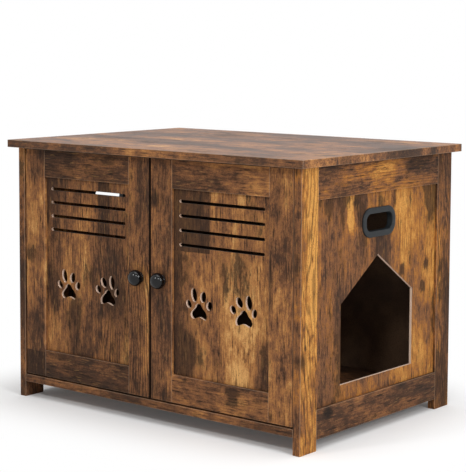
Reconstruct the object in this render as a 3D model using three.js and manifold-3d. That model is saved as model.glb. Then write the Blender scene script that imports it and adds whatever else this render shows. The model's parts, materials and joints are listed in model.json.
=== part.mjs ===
// Cat litter box cabinet: a low wooden side cabinet that hides a litter tray.
//
// Four flat legs, four side rails and two grooved-in side panels make the two end frames. A bottom
// board, a back panel and an overhanging top board join them. Two framed doors with slots and paw
// cut-outs close the front, the cat walks in through the opening in the right side panel, and a
// lined hand hole sits high in both side panels.
//
// Millimetres, +Z up. The doors face -Y and the cat opening is on the +X side. The origin is on the
// floor, at the centre of the cabinet's outline seen from above.

import * as THREE from 'three';
import { mergeVertices } from 'three/addons/utils/BufferGeometryUtils.js';
import Module from 'manifold-3d';

const wasm = await Module();
wasm.setup();

// ---------------------------------------------------------------------------------------------
// Driving dimensions
// ---------------------------------------------------------------------------------------------

// Carcass
const BODY_WIDTH = 720; // over the outer faces of the legs
const BODY_DEPTH = 500; // from the legs' front edges to their rear edges
const LEG_HEIGHT = 515;
const LEG_WIDTH = 50; // along the cabinet's depth
const LEG_THICKNESS = 16;
const TOP_THICKNESS = 15;
const TOP_SIDE_OVERHANG = 15;
const TOP_FRONT_OVERHANG = 17;
const TOP_BACK_OVERHANG = 13;
const BOTTOM_THICKNESS = 15;
const BOTTOM_LIFT = 32; // floor to the bottom board's underside
const LOWER_RAIL_LIFT = 21; // floor to the lower side rail's underside
const LOWER_RAIL_WIDTH = 54.5;
const UPPER_RAIL_WIDTH = 61;

// Thin panels held in grooves
const SIDE_PANEL_THICKNESS = 5;
const SIDE_PANEL_RECESS = 6; // behind the legs' outer faces
const PANEL_GROOVE_DEPTH = 8;
const BACK_PANEL_THICKNESS = 4;
const BACK_PANEL_INSET = 8; // in front of the legs' rear edges
const BACK_GROOVE_DEPTH = 5;
const PANEL_CLEARANCE = 0.3; // between a panel and each face of its groove

// Cat opening, a rectangle under a gable, centred in the right side panel
const CAT_OPENING_WIDTH = 240;
const CAT_OPENING_GABLE = 80; // foot of the gable to its peak
const CAT_OPENING_SILL = 30; // above the lower rail
const CAT_OPENING_BRIDGE = 33.5; // panel left between the peak and the hand hole's bezel

// Hand holes, lined with a plastic bezel outside and a ring inside
const HAND_HOLE_WIDTH = 86;
const HAND_HOLE_HEIGHT = 33;
const HAND_HOLE_CORNER = 14;
const HAND_HOLE_DROP = 57; // upper rail to the hole's centre
const BEZEL_RIM = 11.5;
const BEZEL_THICKNESS = 3.2;
const BEZEL_ROUNDING = 1.2;
const BEZEL_ROUNDING_STEPS = 2;
const SLEEVE_WALL = 2.5;
const SLEEVE_TAIL = 4; // past the panel's inner face
const LINER_RING_RIM = 9;
const LINER_RING_THICKNESS = 2.5;
const LINER_CLEARANCE = 0.3;

// Doors
const DOOR_THICKNESS = 15;
const DOOR_SETBACK = 2; // behind the legs' front edges
const DOOR_SIDE_GAP = 3;
const DOOR_CENTRE_GAP = 3;
const DOOR_TOP_GAP = 3;
const DOOR_BOTTOM_GAP = 3;
const STILE_WIDTH = 54;
const DOOR_RAIL_WIDTH = 54;
const DOOR_PANEL_THICKNESS = 5;
const DOOR_PANEL_RECESS = 6;

// Slots near the top of each door panel
const SLOT_COUNT = 4;
const SLOT_HEIGHT = 6;
const SLOT_PITCH = 27.3;
const SLOT_DROP = 23.4; // door's top rail to the first slot's centre
const SLOT_END_MARGIN = 14; // stile to the slot's end
const SLOT_CORNER_STEPS = 3;

// Paw cut-outs, two in each door panel
const PAW_SPACING = 107;
const PAW_LIFT = 125; // door's bottom rail to the middle of a paw's pad
const PAW_TWIST = 9; // degrees, the toes of every paw lean a little to the left
const PAW_TOES = [ // drawn for a paw whose long toe is on the left; a positive lean is to the right
  { x: -24.8, z: 13.5, length: 17, width: 12, lean: -24 },
  { x: -11.8, z: 32.0, length: 27, width: 14.2, lean: -3 },
  { x: 10.2, z: 30.1, length: 21, width: 14.6, lean: 20 },
  { x: 25.0, z: 15.2, length: 17, width: 13.6, lean: 25 },
];
const PAW_PAD = [ // through these points the pad's rounded outline runs
  [-1.2, 17], [-7.4, 14], [-10.6, 8], [-17.2, 1.5], [-20.6, -5.5], [-15.5, -12.8],
  [1, -8.8], [17, -12.6], [19.2, -4.5], [14.8, 3.8], [9.2, 8.4], [5.8, 13.6],
];
const TOE_SIDES = 16;
const PAD_SIDES = 36;

// Knobs
const KNOB_RADIUS = 16;
const KNOB_LENGTH = 24; // door face to the crown
const KNOB_DOME_DEPTH = 14; // widest place to the crown
const KNOB_BACK_DEPTH = 9; // widest place to the end of the ellipse behind it
const KNOB_FOOT_RADIUS = 12;
const KNOB_FOOT_THICKNESS = 1.5;
const KNOB_FOOT_TAPER = 1.5; // height over which the foot narrows to the neck
const KNOB_NECK_RADIUS = 11;
const KNOB_SIDES = 24;
const KNOB_DOME_STEPS = 8;
const KNOB_BACK_STEPS = 3;
const KNOB_SCREW_RADIUS = 2;
const KNOB_SCREW_GRIP = 10; // length of screw inside the knob
const SCREW_HEAD_RADIUS = 4;
const SCREW_HEAD_THICKNESS = 2.4;
const SCREW_CLEARANCE = 0.3;

// Concealed cup hinges, two on each door
const HINGE_END_DISTANCE = 75; // door's end to the hinge's centre
const CUP_RADIUS = 17.5;
const CUP_DEPTH = 11.5;
const CUP_EDGE = 4; // door's edge to the cup
const CUP_WALL = 1;
const CUP_CLEARANCE = 0.2;
const CUP_FLANGE_THICKNESS = 1.2;
const CUP_FLANGE_LENGTH = 60;
const CUP_FLANGE_WIDTH = 20;
const CUP_FLANGE_CORNER = 5;
const CUP_FLANGE_LIP = 1.5; // around the cup
const ARM_WIDTH = 15;
const ARM_THICKNESS = 2;
const ARM_NOSE_DEPTH = 7; // inside the cup, at rest
const ARM_NOSE_OFFSET = 2.5; // from the cup's axis, away from the leg
const ARM_BRIDGE_CLEARANCE = 1.3; // between the arm and the cup's flange
const ARM_CHEEK_THICKNESS = 1.4;
const ARM_LENGTH = 26; // along the leg, behind the bridge
const PLATE_THICKNESS = 2;
const PLATE_LENGTH = 48;
const PLATE_WIDTH = 16;
const PLATE_CORNER = 6.4;
const HINGE_CORNER_STEPS = 3;
const PLATE_RIDGE_HEIGHT = 6;
const PLATE_RIDGE_CLEARANCE = 0.3;

// Magnetic catch under the top board, with a strike plate on each door
const CATCH_WIDTH = 48;
const CATCH_DEPTH = 15;
const CATCH_HEIGHT = 13;
const CATCH_EAR_WIDTH = 9;
const CATCH_EAR_INSET = 3; // in from the housing's front and back
const CATCH_EAR_THICKNESS = 2.5;
const CATCH_GAP = 0.6; // between the magnet and the strike plates
const STRIKE_WIDTH = 18;
const STRIKE_HEIGHT = 12;
const STRIKE_THICKNESS = 1.2;
const STRIKE_MARGIN = 3; // from the door's edges

// Cam locks that draw the bottom board to the legs, and dowels that hold the top board
const CAM_RADIUS = 7.3;
const CAM_HEIGHT = 12;
const CAM_SETBACK = 24; // board's edge to the cam's axis
const CAM_SLOT_LENGTH = 10.2;
const CAM_SLOT_WIDTH = 2;
const CAM_SLOT_DEPTH = 1.5;
const CAM_BOLT_RADIUS = 3;
const CAM_BOLT_HEAD_RADIUS = 3.6;
const CAM_BOLT_HEAD_LENGTH = 4;
const CAM_BOLT_IN_LEG = 11;
const DOWEL_RADIUS = 4;
const DOWEL_IN_LEG = 19;
const DOWEL_IN_TOP = 10;
const BORE_CLEARANCE = 0.2;

// ---------------------------------------------------------------------------------------------
// Places worked out from the dimensions
// ---------------------------------------------------------------------------------------------

const OVERSHOOT = 1; // how far a cutter runs past the face that it opens
const WELD_DISTANCE = 1e-4;
const ROUND_SIDES = 20;
const CORNER_STEPS = 5;
const CORNER_FLAT = 0.07; // least straight stretch left on each side of a rounded corner

const halfBody = BODY_WIDTH / 2;
const halfOpening = halfBody - LEG_THICKNESS;
const bottomTop = BOTTOM_LIFT + BOTTOM_THICKNESS;
const lowerRailTop = LOWER_RAIL_LIFT + LOWER_RAIL_WIDTH;
const upperRailBottom = LEG_HEIGHT - UPPER_RAIL_WIDTH;
const sidePanelOuter = halfBody - SIDE_PANEL_RECESS;
const sidePanelInner = sidePanelOuter - SIDE_PANEL_THICKNESS;
const panelReach = PANEL_GROOVE_DEPTH - PANEL_CLEARANCE;
const backPanel = [
  BODY_DEPTH - BACK_PANEL_INSET - BACK_PANEL_THICKNESS,
  BODY_DEPTH - BACK_PANEL_INSET,
];
const handHoleHeight = upperRailBottom - HAND_HOLE_DROP;
const catOpeningSill = lowerRailTop + CAT_OPENING_SILL;
const catOpeningPeak = handHoleHeight - HAND_HOLE_HEIGHT / 2 - BEZEL_RIM - CAT_OPENING_BRIDGE;
const midDepth = BODY_DEPTH / 2;

const doorWidth = halfOpening - DOOR_SIDE_GAP - DOOR_CENTRE_GAP / 2;
const doorBottom = bottomTop + DOOR_BOTTOM_GAP;
const doorTop = LEG_HEIGHT - DOOR_TOP_GAP;
const doorBack = DOOR_SETBACK + DOOR_THICKNESS;
const doorRailBottomTop = doorBottom + DOOR_RAIL_WIDTH;
const doorRailTopBottom = doorTop - DOOR_RAIL_WIDTH;
const doorPanel = [DOOR_PANEL_RECESS, DOOR_PANEL_RECESS + DOOR_PANEL_THICKNESS];
const knobAcross = doorWidth - STILE_WIDTH / 2;
const knobHeight = (doorBottom + doorTop) / 2;
const cupAcross = CUP_EDGE + CUP_RADIUS;
const hingeHeights = { lower: doorBottom + HINGE_END_DISTANCE, upper: doorTop - HINGE_END_DISTANCE };

const frontReach = Math.max(TOP_FRONT_OVERHANG, KNOB_LENGTH - DOOR_SETBACK);
const backReach = BODY_DEPTH + TOP_BACK_OVERHANG;
const outlineCentre = (backReach - frontReach) / 2; // behind the legs' front edges

const SIDES = [{ side: 'left', sign: -1 }, { side: 'right', sign: 1 }];
const ENDS = [
  { end: 'front', legSpan: [0, LEG_WIDTH], inward: 1 },
  { end: 'rear', legSpan: [BODY_DEPTH - LEG_WIDTH, BODY_DEPTH], inward: -1 },
];

// ---------------------------------------------------------------------------------------------
// Finishes
// ---------------------------------------------------------------------------------------------

const FINISHES = {
  darkBoard: { color: '#5b3f2c', roughness: 0.55, metalness: 0 },
  warmBoard: { color: '#7d5530', roughness: 0.55, metalness: 0 },
  topBoard: { color: '#6d5443', roughness: 0.42, metalness: 0 },
  backBoard: { color: '#4a3526', roughness: 0.7, metalness: 0 },
  satinPlastic: { color: '#26282a', roughness: 0.45, metalness: 0 },
  glossBlack: { color: '#0b0c0e', roughness: 0.12, metalness: 0.1 },
  zincSteel: { color: '#b9bcbf', roughness: 0.35, metalness: 0.9 },
  catchPlastic: { color: '#3a2a20', roughness: 0.5, metalness: 0 },
  beech: { color: '#c9a777', roughness: 0.7, metalness: 0 },
};

// ---------------------------------------------------------------------------------------------
// Shapes
// ---------------------------------------------------------------------------------------------

const sorted = (a, b) => (a < b ? [a, b] : [b, a]);
const middle = ([from, to]) => (from + to) / 2;
const grow = ([from, to], by) => [from - by, to + by];

// A block between two values on each axis.
function block(x, y, z) {
  const geometry = new THREE.BoxGeometry(x[1] - x[0], y[1] - y[0], z[1] - z[0]);
  return geometry.translate(middle(x), middle(y), middle(z));
}

// A straight prism along x, y or z. Its outline is given in (y, z), (x, z) or (x, y).
function prism(axis, outline, span, bevel = {}) {
  const geometry = new THREE.ExtrudeGeometry(outline, {
    depth: span[1] - span[0], bevelEnabled: false, ...bevel,
  });
  if (axis === 'z') return geometry.translate(0, 0, span[0]);
  geometry.rotateX(Math.PI / 2);
  if (axis === 'y') return geometry.translate(0, span[1], 0);
  return geometry.rotateZ(Math.PI / 2).translate(span[0], 0, 0);
}

// A round bar along x, y or z; centre holds its other two coordinates, in x, y, z order.
function rod(axis, centre, radius, span) {
  const geometry = new THREE.CylinderGeometry(radius, radius, span[1] - span[0], ROUND_SIDES);
  const along = middle(span);
  const [first, second] = centre;
  if (axis === 'y') return geometry.translate(first, along, second);
  if (axis === 'x') return geometry.rotateZ(Math.PI / 2).translate(along, first, second);
  return geometry.rotateX(Math.PI / 2).translate(first, second, along);
}

// Points along the arc of an ellipse that leans to the right by `lean` radians.
function ellipsePoints(cx, cy, rx, ry, lean, from, to, steps) {
  return Array.from({ length: steps }, (_, i) => {
    const angle = from + ((to - from) * i) / steps;
    const x = rx * Math.cos(angle);
    const y = ry * Math.sin(angle);
    return new THREE.Vector2(
      cx + x * Math.cos(lean) + y * Math.sin(lean),
      cy - x * Math.sin(lean) + y * Math.cos(lean),
    );
  });
}

// A rectangle with rounded corners, which grow no larger than its sides allow.
function roundedRectangle(cx, cy, width, height, corner, steps = CORNER_STEPS) {
  const radius = Math.min(corner, Math.min(width, height) / 2 - CORNER_FLAT);
  const points = [[1, 1], [-1, 1], [-1, -1], [1, -1]].flatMap(([sx, sy], quarter) => {
    const x = cx + sx * (width / 2 - radius);
    const y = cy + sy * (height / 2 - radius);
    return Array.from({ length: steps + 1 }, (_, i) => {
      const angle = (quarter + i / steps) * (Math.PI / 2);
      return new THREE.Vector2(x + radius * Math.cos(angle), y + radius * Math.sin(angle));
    });
  });
  return new THREE.Shape(points);
}

// The outline of a bent strip of even thickness along a line of points.
function stripOutline(line, thickness) {
  const points = line.map(([x, y]) => new THREE.Vector2(x, y));
  const headings = points.slice(1).map((point, i) => point.clone().sub(points[i]).normalize());
  const offsets = points.map((_, i) => {
    const before = headings[Math.max(i - 1, 0)];
    const after = headings[Math.min(i, headings.length - 1)];
    const normal = new THREE.Vector2(-before.y - after.y, before.x + after.x).normalize();
    const stretch = thickness / 2 / normal.dot(new THREE.Vector2(-after.y, after.x));
    return normal.multiplyScalar(stretch);
  });
  const oneSide = points.map((point, i) => point.clone().add(offsets[i]));
  const otherSide = points.map((point, i) => point.clone().sub(offsets[i])).reverse();
  return new THREE.Shape([...oneSide, ...otherSide]);
}

// Reflects a geometry across the plane x = 0.
function mirrored(geometry) {
  const flipped = geometry.index ? geometry.toNonIndexed() : geometry.clone();
  const position = flipped.attributes.position;
  for (let i = 0; i < position.count; i += 3) {
    const corners = [0, 2, 1].map((k) => new THREE.Vector3().fromBufferAttribute(position, i + k));
    corners.forEach((corner, k) => position.setXYZ(i + k, -corner.x, corner.y, corner.z));
  }
  flipped.computeVertexNormals();
  return flipped;
}

// ---------------------------------------------------------------------------------------------
// Cutting and joining
// ---------------------------------------------------------------------------------------------

function toSolid(geometry) {
  const bare = geometry.clone();
  bare.deleteAttribute('normal');
  bare.deleteAttribute('uv');
  const welded = mergeVertices(bare, WELD_DISTANCE);
  const corners = Array.from(welded.index.array);
  const triangles = [];
  for (let i = 0; i < corners.length; i += 3) {
    const [a, b, c] = corners.slice(i, i + 3);
    if (a !== b && b !== c && c !== a) triangles.push(a, b, c);
  }
  return new wasm.Manifold(new wasm.Mesh({
    numProp: 3,
    vertProperties: new Float32Array(welded.attributes.position.array),
    triVerts: new Uint32Array(triangles),
  }));
}

function toGeometry(solid) {
  const mesh = solid.getMesh();
  const geometry = new THREE.BufferGeometry();
  geometry.setAttribute('position', new THREE.BufferAttribute(mesh.vertProperties, mesh.numProp));
  geometry.setIndex(new THREE.BufferAttribute(mesh.triVerts, 1));
  geometry.computeVertexNormals();
  return geometry;
}

const cut = (geometry, ...tools) => toGeometry(
  tools.reduce((solid, tool) => solid.subtract(toSolid(tool)), toSolid(geometry)),
);

const join = (geometry, ...others) => toGeometry(
  others.reduce((solid, other) => solid.add(toSolid(other)), toSolid(geometry)),
);

function addPiece(group, name, geometry, finish) {
  const mesh = new THREE.Mesh(geometry, new THREE.MeshStandardMaterial(finish));
  mesh.name = name;
  group.add(mesh);
  return mesh;
}

// ---------------------------------------------------------------------------------------------
// Carcass
// ---------------------------------------------------------------------------------------------

const legSpanX = (sign) => sorted(sign * halfOpening, sign * halfBody);
const sideGrooveX = (sign) => grow(
  sorted(sign * sidePanelInner, sign * sidePanelOuter),
  PANEL_CLEARANCE,
);

function dowelBore(sign, legSpan, span) {
  const centre = [sign * (halfBody - LEG_THICKNESS / 2), middle(legSpan)];
  return rod('z', centre, DOWEL_RADIUS + BORE_CLEARANCE, span);
}

function leg(sign, { legSpan, inward }) {
  const board = block(legSpanX(sign), legSpan, [0, LEG_HEIGHT]);
  const innerEdge = inward > 0 ? legSpan[1] : legSpan[0];
  const panelGroove = block(
    sideGrooveX(sign),
    sorted(innerEdge - inward * PANEL_GROOVE_DEPTH, innerEdge + inward * OVERSHOOT),
    [lowerRailTop - PANEL_GROOVE_DEPTH, upperRailBottom + PANEL_GROOVE_DEPTH],
  );
  const topBore = dowelBore(
    sign, legSpan, [LEG_HEIGHT - DOWEL_IN_LEG - BORE_CLEARANCE, LEG_HEIGHT + OVERSHOOT],
  );
  const boltBore = rod(
    'x', [middle(legSpan), BOTTOM_LIFT + BOTTOM_THICKNESS / 2], CAM_BOLT_RADIUS + BORE_CLEARANCE,
    sorted(
      sign * (halfOpening - OVERSHOOT),
      sign * (halfOpening + CAM_BOLT_IN_LEG + BORE_CLEARANCE),
    ),
  );
  const tools = [panelGroove, topBore, boltBore];
  if (inward < 0) {
    tools.push(block(
      sorted(sign * (halfOpening - OVERSHOOT), sign * (halfOpening + BACK_GROOVE_DEPTH)),
      grow(backPanel, PANEL_CLEARANCE),
      [bottomTop - BACK_GROOVE_DEPTH, LEG_HEIGHT + OVERSHOOT],
    ));
  }
  return cut(board, ...tools);
}

// A side rail fills the space between two legs, with a groove for the panel along one edge.
function sideRail(sign, height, grooveEdge, towardsPanel) {
  const span = [LEG_WIDTH, BODY_DEPTH - LEG_WIDTH];
  const groove = block(
    sideGrooveX(sign),
    grow(span, OVERSHOOT),
    sorted(grooveEdge + towardsPanel * OVERSHOOT, grooveEdge - towardsPanel * PANEL_GROOVE_DEPTH),
  );
  return cut(block(legSpanX(sign), span, height), groove);
}

function catOpeningOutline() {
  const shoulder = catOpeningPeak - CAT_OPENING_GABLE;
  return new THREE.Shape([
    [midDepth - CAT_OPENING_WIDTH / 2, catOpeningSill],
    [midDepth + CAT_OPENING_WIDTH / 2, catOpeningSill],
    [midDepth + CAT_OPENING_WIDTH / 2, shoulder],
    [midDepth, catOpeningPeak],
    [midDepth - CAT_OPENING_WIDTH / 2, shoulder],
  ].map(([y, z]) => new THREE.Vector2(y, z)));
}

// The hand hole's outline, larger than the finger hole by a margin all round.
function handHoleOutline(margin) {
  return roundedRectangle(
    midDepth, handHoleHeight,
    HAND_HOLE_WIDTH + 2 * margin, HAND_HOLE_HEIGHT + 2 * margin, HAND_HOLE_CORNER + margin,
  );
}

function ringOutline(outerMargin, innerMargin) {
  const outline = handHoleOutline(outerMargin);
  outline.holes.push(new THREE.Path(handHoleOutline(innerMargin).getPoints()));
  return outline;
}

function sidePanel(sign, openings) {
  const span = sorted(sign * sidePanelInner, sign * sidePanelOuter);
  const sheet = block(
    span,
    [LEG_WIDTH - panelReach, BODY_DEPTH - LEG_WIDTH + panelReach],
    [lowerRailTop - panelReach, upperRailBottom + panelReach],
  );
  return cut(sheet, ...openings.map((outline) => prism('x', outline, grow(span, OVERSHOOT))));
}

// The outside liner of a hand hole: a rounded flange with a sleeve through the panel.
function handHoleBezel(sign) {
  const flange = prism(
    'x', ringOutline(BEZEL_RIM, 0),
    [sidePanelOuter + BEZEL_ROUNDING, sidePanelOuter + BEZEL_THICKNESS - BEZEL_ROUNDING],
    {
      bevelEnabled: true, bevelThickness: BEZEL_ROUNDING, bevelSize: BEZEL_ROUNDING,
      bevelOffset: -BEZEL_ROUNDING, bevelSegments: BEZEL_ROUNDING_STEPS,
    },
  );
  const sleeve = prism(
    'x', ringOutline(SLEEVE_WALL, 0),
    [sidePanelInner - SLEEVE_TAIL, sidePanelOuter + BEZEL_THICKNESS / 2],
  );
  const bezel = join(flange, sleeve);
  return sign > 0 ? bezel : mirrored(bezel);
}

// The inside ring, pushed over the sleeve against the panel.
function handHoleRing(sign) {
  const span = sorted(sign * (sidePanelInner - LINER_RING_THICKNESS), sign * sidePanelInner);
  return prism('x', ringOutline(LINER_RING_RIM, SLEEVE_WALL + LINER_CLEARANCE), span);
}

function camBore(sign, legSpan, radius, span) {
  return rod('z', [sign * (halfOpening - CAM_SETBACK), middle(legSpan)], radius, span);
}

function bottomBoard() {
  const board = block(
    [-halfOpening, halfOpening], [0, BODY_DEPTH], [BOTTOM_LIFT, bottomTop],
  );
  const groove = block(
    grow([-halfOpening, halfOpening], OVERSHOOT),
    grow(backPanel, PANEL_CLEARANCE),
    [bottomTop - BACK_GROOVE_DEPTH, bottomTop + OVERSHOOT],
  );
  const bores = SIDES.flatMap(({ sign }) => ENDS.flatMap(({ legSpan }) => [
    camBore(
      sign, legSpan, CAM_RADIUS + BORE_CLEARANCE,
      [BOTTOM_LIFT - OVERSHOOT, BOTTOM_LIFT + CAM_HEIGHT + BORE_CLEARANCE],
    ),
    rod(
      'x', [middle(legSpan), BOTTOM_LIFT + BOTTOM_THICKNESS / 2],
      CAM_BOLT_HEAD_RADIUS + BORE_CLEARANCE,
      sorted(sign * (halfOpening - CAM_SETBACK), sign * (halfOpening + OVERSHOOT)),
    ),
  ]));
  return cut(board, groove, ...bores);
}

function topBoard() {
  const board = block(
    grow([-halfBody, halfBody], TOP_SIDE_OVERHANG),
    [-TOP_FRONT_OVERHANG, BODY_DEPTH + TOP_BACK_OVERHANG],
    [LEG_HEIGHT, LEG_HEIGHT + TOP_THICKNESS],
  );
  const groove = block(
    grow([-halfOpening, halfOpening], BACK_GROOVE_DEPTH),
    grow(backPanel, PANEL_CLEARANCE),
    [LEG_HEIGHT - OVERSHOOT, LEG_HEIGHT + BACK_GROOVE_DEPTH],
  );
  const bores = SIDES.flatMap(({ sign }) => ENDS.map(({ legSpan }) => dowelBore(
    sign, legSpan, [LEG_HEIGHT - OVERSHOOT, LEG_HEIGHT + DOWEL_IN_TOP + BORE_CLEARANCE],
  )));
  return cut(board, groove, ...bores);
}

function backSheet() {
  const reach = BACK_GROOVE_DEPTH - PANEL_CLEARANCE;
  return block(
    grow([-halfOpening, halfOpening], reach), backPanel, [bottomTop - reach, LEG_HEIGHT + reach],
  );
}

// A cam lock turns on the head of the bolt that is screwed into the leg.
function camLock(sign, legSpan) {
  const height = [BOTTOM_LIFT, BOTTOM_LIFT + CAM_HEIGHT];
  const drum = camBore(sign, legSpan, CAM_RADIUS, height);
  const axisX = sign * (halfOpening - CAM_SETBACK);
  const boltHole = rod(
    'x', [middle(legSpan), BOTTOM_LIFT + BOTTOM_THICKNESS / 2],
    CAM_BOLT_HEAD_RADIUS + BORE_CLEARANCE,
    sorted(axisX - sign * CAM_BOLT_HEAD_LENGTH / 2, axisX + sign * (CAM_RADIUS + OVERSHOOT)),
  );
  const driverSlot = block(
    grow([axisX, axisX], CAM_SLOT_LENGTH / 2),
    grow([middle(legSpan), middle(legSpan)], CAM_SLOT_WIDTH / 2),
    [BOTTOM_LIFT - OVERSHOOT, BOTTOM_LIFT + CAM_SLOT_DEPTH],
  );
  return cut(drum, boltHole, driverSlot);
}

function camBolt(sign, legSpan) {
  const centre = [middle(legSpan), BOTTOM_LIFT + BOTTOM_THICKNESS / 2];
  const headEnd = halfOpening - CAM_SETBACK;
  const head = rod(
    'x', centre, CAM_BOLT_HEAD_RADIUS,
    sorted(sign * headEnd, sign * (headEnd + CAM_BOLT_HEAD_LENGTH)),
  );
  const shank = rod(
    'x', centre, CAM_BOLT_RADIUS,
    sorted(
      sign * (headEnd + CAM_BOLT_HEAD_LENGTH / 2),
      sign * (halfOpening + CAM_BOLT_IN_LEG),
    ),
  );
  return join(head, shank);
}

function topDowel(sign, legSpan) {
  const centre = [sign * (halfBody - LEG_THICKNESS / 2), middle(legSpan)];
  return rod('z', centre, DOWEL_RADIUS, [LEG_HEIGHT - DOWEL_IN_LEG, LEG_HEIGHT + DOWEL_IN_TOP]);
}

// The catch's housing hangs from the top board by two ears, just behind the closed doors.
function magneticCatch() {
  const front = doorBack + STRIKE_THICKNESS + CATCH_GAP;
  const depth = [front, front + CATCH_DEPTH];
  const halfWidth = CATCH_WIDTH / 2;
  const housing = block([-halfWidth, halfWidth], depth, [LEG_HEIGHT - CATCH_HEIGHT, LEG_HEIGHT]);
  const ears = block(
    grow([-halfWidth, halfWidth], CATCH_EAR_WIDTH),
    grow(depth, -CATCH_EAR_INSET),
    [LEG_HEIGHT - CATCH_EAR_THICKNESS, LEG_HEIGHT],
  );
  return join(housing, ears);
}

function buildCarcass() {
  const carcass = new THREE.Group();
  addPiece(carcass, 'top_board', topBoard(), FINISHES.topBoard);
  addPiece(carcass, 'bottom_board', bottomBoard(), FINISHES.darkBoard);
  addPiece(carcass, 'back_panel', backSheet(), FINISHES.backBoard);
  addPiece(carcass, 'magnetic_catch', magneticCatch(), FINISHES.catchPlastic);
  for (const { side, sign } of SIDES) {
    for (const place of ENDS) {
      const corner = `${place.end}_${side}`;
      addPiece(carcass, `${corner}_leg`, leg(sign, place), FINISHES.darkBoard);
      addPiece(carcass, `${corner}_cam_lock`, camLock(sign, place.legSpan), FINISHES.zincSteel);
      addPiece(carcass, `${corner}_cam_bolt`, camBolt(sign, place.legSpan), FINISHES.zincSteel);
      addPiece(carcass, `${corner}_top_dowel`, topDowel(sign, place.legSpan), FINISHES.beech);
    }
    const upperRail = sideRail(sign, [upperRailBottom, LEG_HEIGHT], upperRailBottom, -1);
    const lowerRail = sideRail(sign, [LOWER_RAIL_LIFT, lowerRailTop], lowerRailTop, 1);
    addPiece(carcass, `${side}_upper_rail`, upperRail, FINISHES.darkBoard);
    addPiece(carcass, `${side}_lower_rail`, lowerRail, FINISHES.darkBoard);

    const openings = [handHoleOutline(SLEEVE_WALL + LINER_CLEARANCE)];
    if (side === 'right') openings.push(catOpeningOutline());
    addPiece(carcass, `${side}_side_panel`, sidePanel(sign, openings), FINISHES.warmBoard);
    addPiece(carcass, `${side}_hand_hole_bezel`, handHoleBezel(sign), FINISHES.satinPlastic);
    addPiece(carcass, `${side}_hand_hole_ring`, handHoleRing(sign), FINISHES.satinPlastic);
  }
  return carcass;
}

// ---------------------------------------------------------------------------------------------
// Hinges
// ---------------------------------------------------------------------------------------------

// The cup and its flange, drawn for a door whose hinge edge is x = 0 and that reaches towards +x.
function hingeCup(height) {
  const centre = [cupAcross, height];
  const cupFloor = DOOR_THICKNESS - CUP_DEPTH;
  const flangeSpan = [DOOR_THICKNESS, DOOR_THICKNESS + CUP_FLANGE_THICKNESS];
  const cup = rod('y', centre, CUP_RADIUS - CUP_CLEARANCE, [cupFloor, flangeSpan[1]]);
  const lip = rod('y', centre, CUP_RADIUS + CUP_FLANGE_LIP, flangeSpan);
  const wings = prism('y', roundedRectangle(
    cupAcross + ARM_NOSE_OFFSET, height, CUP_FLANGE_WIDTH, CUP_FLANGE_LENGTH,
    CUP_FLANGE_CORNER, HINGE_CORNER_STEPS,
  ), flangeSpan);
  const hollow = rod(
    'y', centre, CUP_RADIUS - CUP_CLEARANCE - CUP_WALL,
    [cupFloor + CUP_WALL, flangeSpan[1] + OVERSHOOT],
  );
  return cut(join(cup, lip, wings), hollow);
}

const cupBore = (height) => rod(
  'y', [cupAcross, height], CUP_RADIUS,
  [DOOR_THICKNESS - CUP_DEPTH - CUP_CLEARANCE, DOOR_THICKNESS + OVERSHOOT],
);

// The arm and its plate stand on the inner face of a leg. They are drawn for the plane x = 0,
// reaching towards +x, with y = 0 at the leg's front edge.
const armTop = PLATE_THICKNESS + PLATE_RIDGE_HEIGHT;
const armLine = armTop + ARM_THICKNESS / 2;
const bridgeY = doorBack + CUP_FLANGE_THICKNESS + ARM_BRIDGE_CLEARANCE + ARM_THICKNESS / 2;
const armRun = [bridgeY + armLine / 2, bridgeY + ARM_LENGTH];

function hingeArm(height) {
  const noseX = DOOR_SIDE_GAP + cupAcross + ARM_NOSE_OFFSET;
  const bend = armLine / 2;
  const halfWidth = ARM_WIDTH / 2;
  const strip = prism('z', stripOutline([
    [armLine, armRun[1]],
    [armLine, armRun[0]],
    [armLine + bend, bridgeY],
    [noseX - bend, bridgeY],
    [noseX, bridgeY - bend],
    [noseX, doorBack - ARM_NOSE_DEPTH],
  ], ARM_THICKNESS), [height - halfWidth, height + halfWidth]);
  const cheeks = [-1, 1].map((up) => block(
    [PLATE_THICKNESS + PLATE_RIDGE_CLEARANCE, armLine],
    armRun,
    sorted(height + up * (halfWidth - ARM_CHEEK_THICKNESS), height + up * halfWidth),
  ));
  return join(strip, ...cheeks);
}

function hingePlate(height) {
  const ridgeHalfWidth = ARM_WIDTH / 2 - ARM_CHEEK_THICKNESS - PLATE_RIDGE_CLEARANCE;
  const wings = prism('x', roundedRectangle(
    middle(armRun), height, PLATE_WIDTH, PLATE_LENGTH, PLATE_CORNER, HINGE_CORNER_STEPS,
  ), [0, PLATE_THICKNESS]);
  const ridge = block(
    [PLATE_THICKNESS / 2, armTop],
    grow(armRun, -PLATE_RIDGE_CLEARANCE),
    grow([height, height], ridgeHalfWidth),
  );
  return join(wings, ridge);
}

function buildHingeArms() {
  const arms = new THREE.Group();
  for (const { side, sign } of SIDES) {
    const legFace = new THREE.Group();
    legFace.position.x = sign * halfOpening;
    arms.add(legFace);
    const facing = (geometry) => (sign < 0 ? geometry : mirrored(geometry));
    for (const [level, height] of Object.entries(hingeHeights)) {
      const name = `${side}_${level}_hinge`;
      addPiece(legFace, `${name}_arm`, facing(hingeArm(height)), FINISHES.zincSteel);
      addPiece(legFace, `${name}_plate`, facing(hingePlate(height)), FINISHES.zincSteel);
    }
  }
  return arms;
}

// ---------------------------------------------------------------------------------------------
// Doors
// ---------------------------------------------------------------------------------------------

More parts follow.
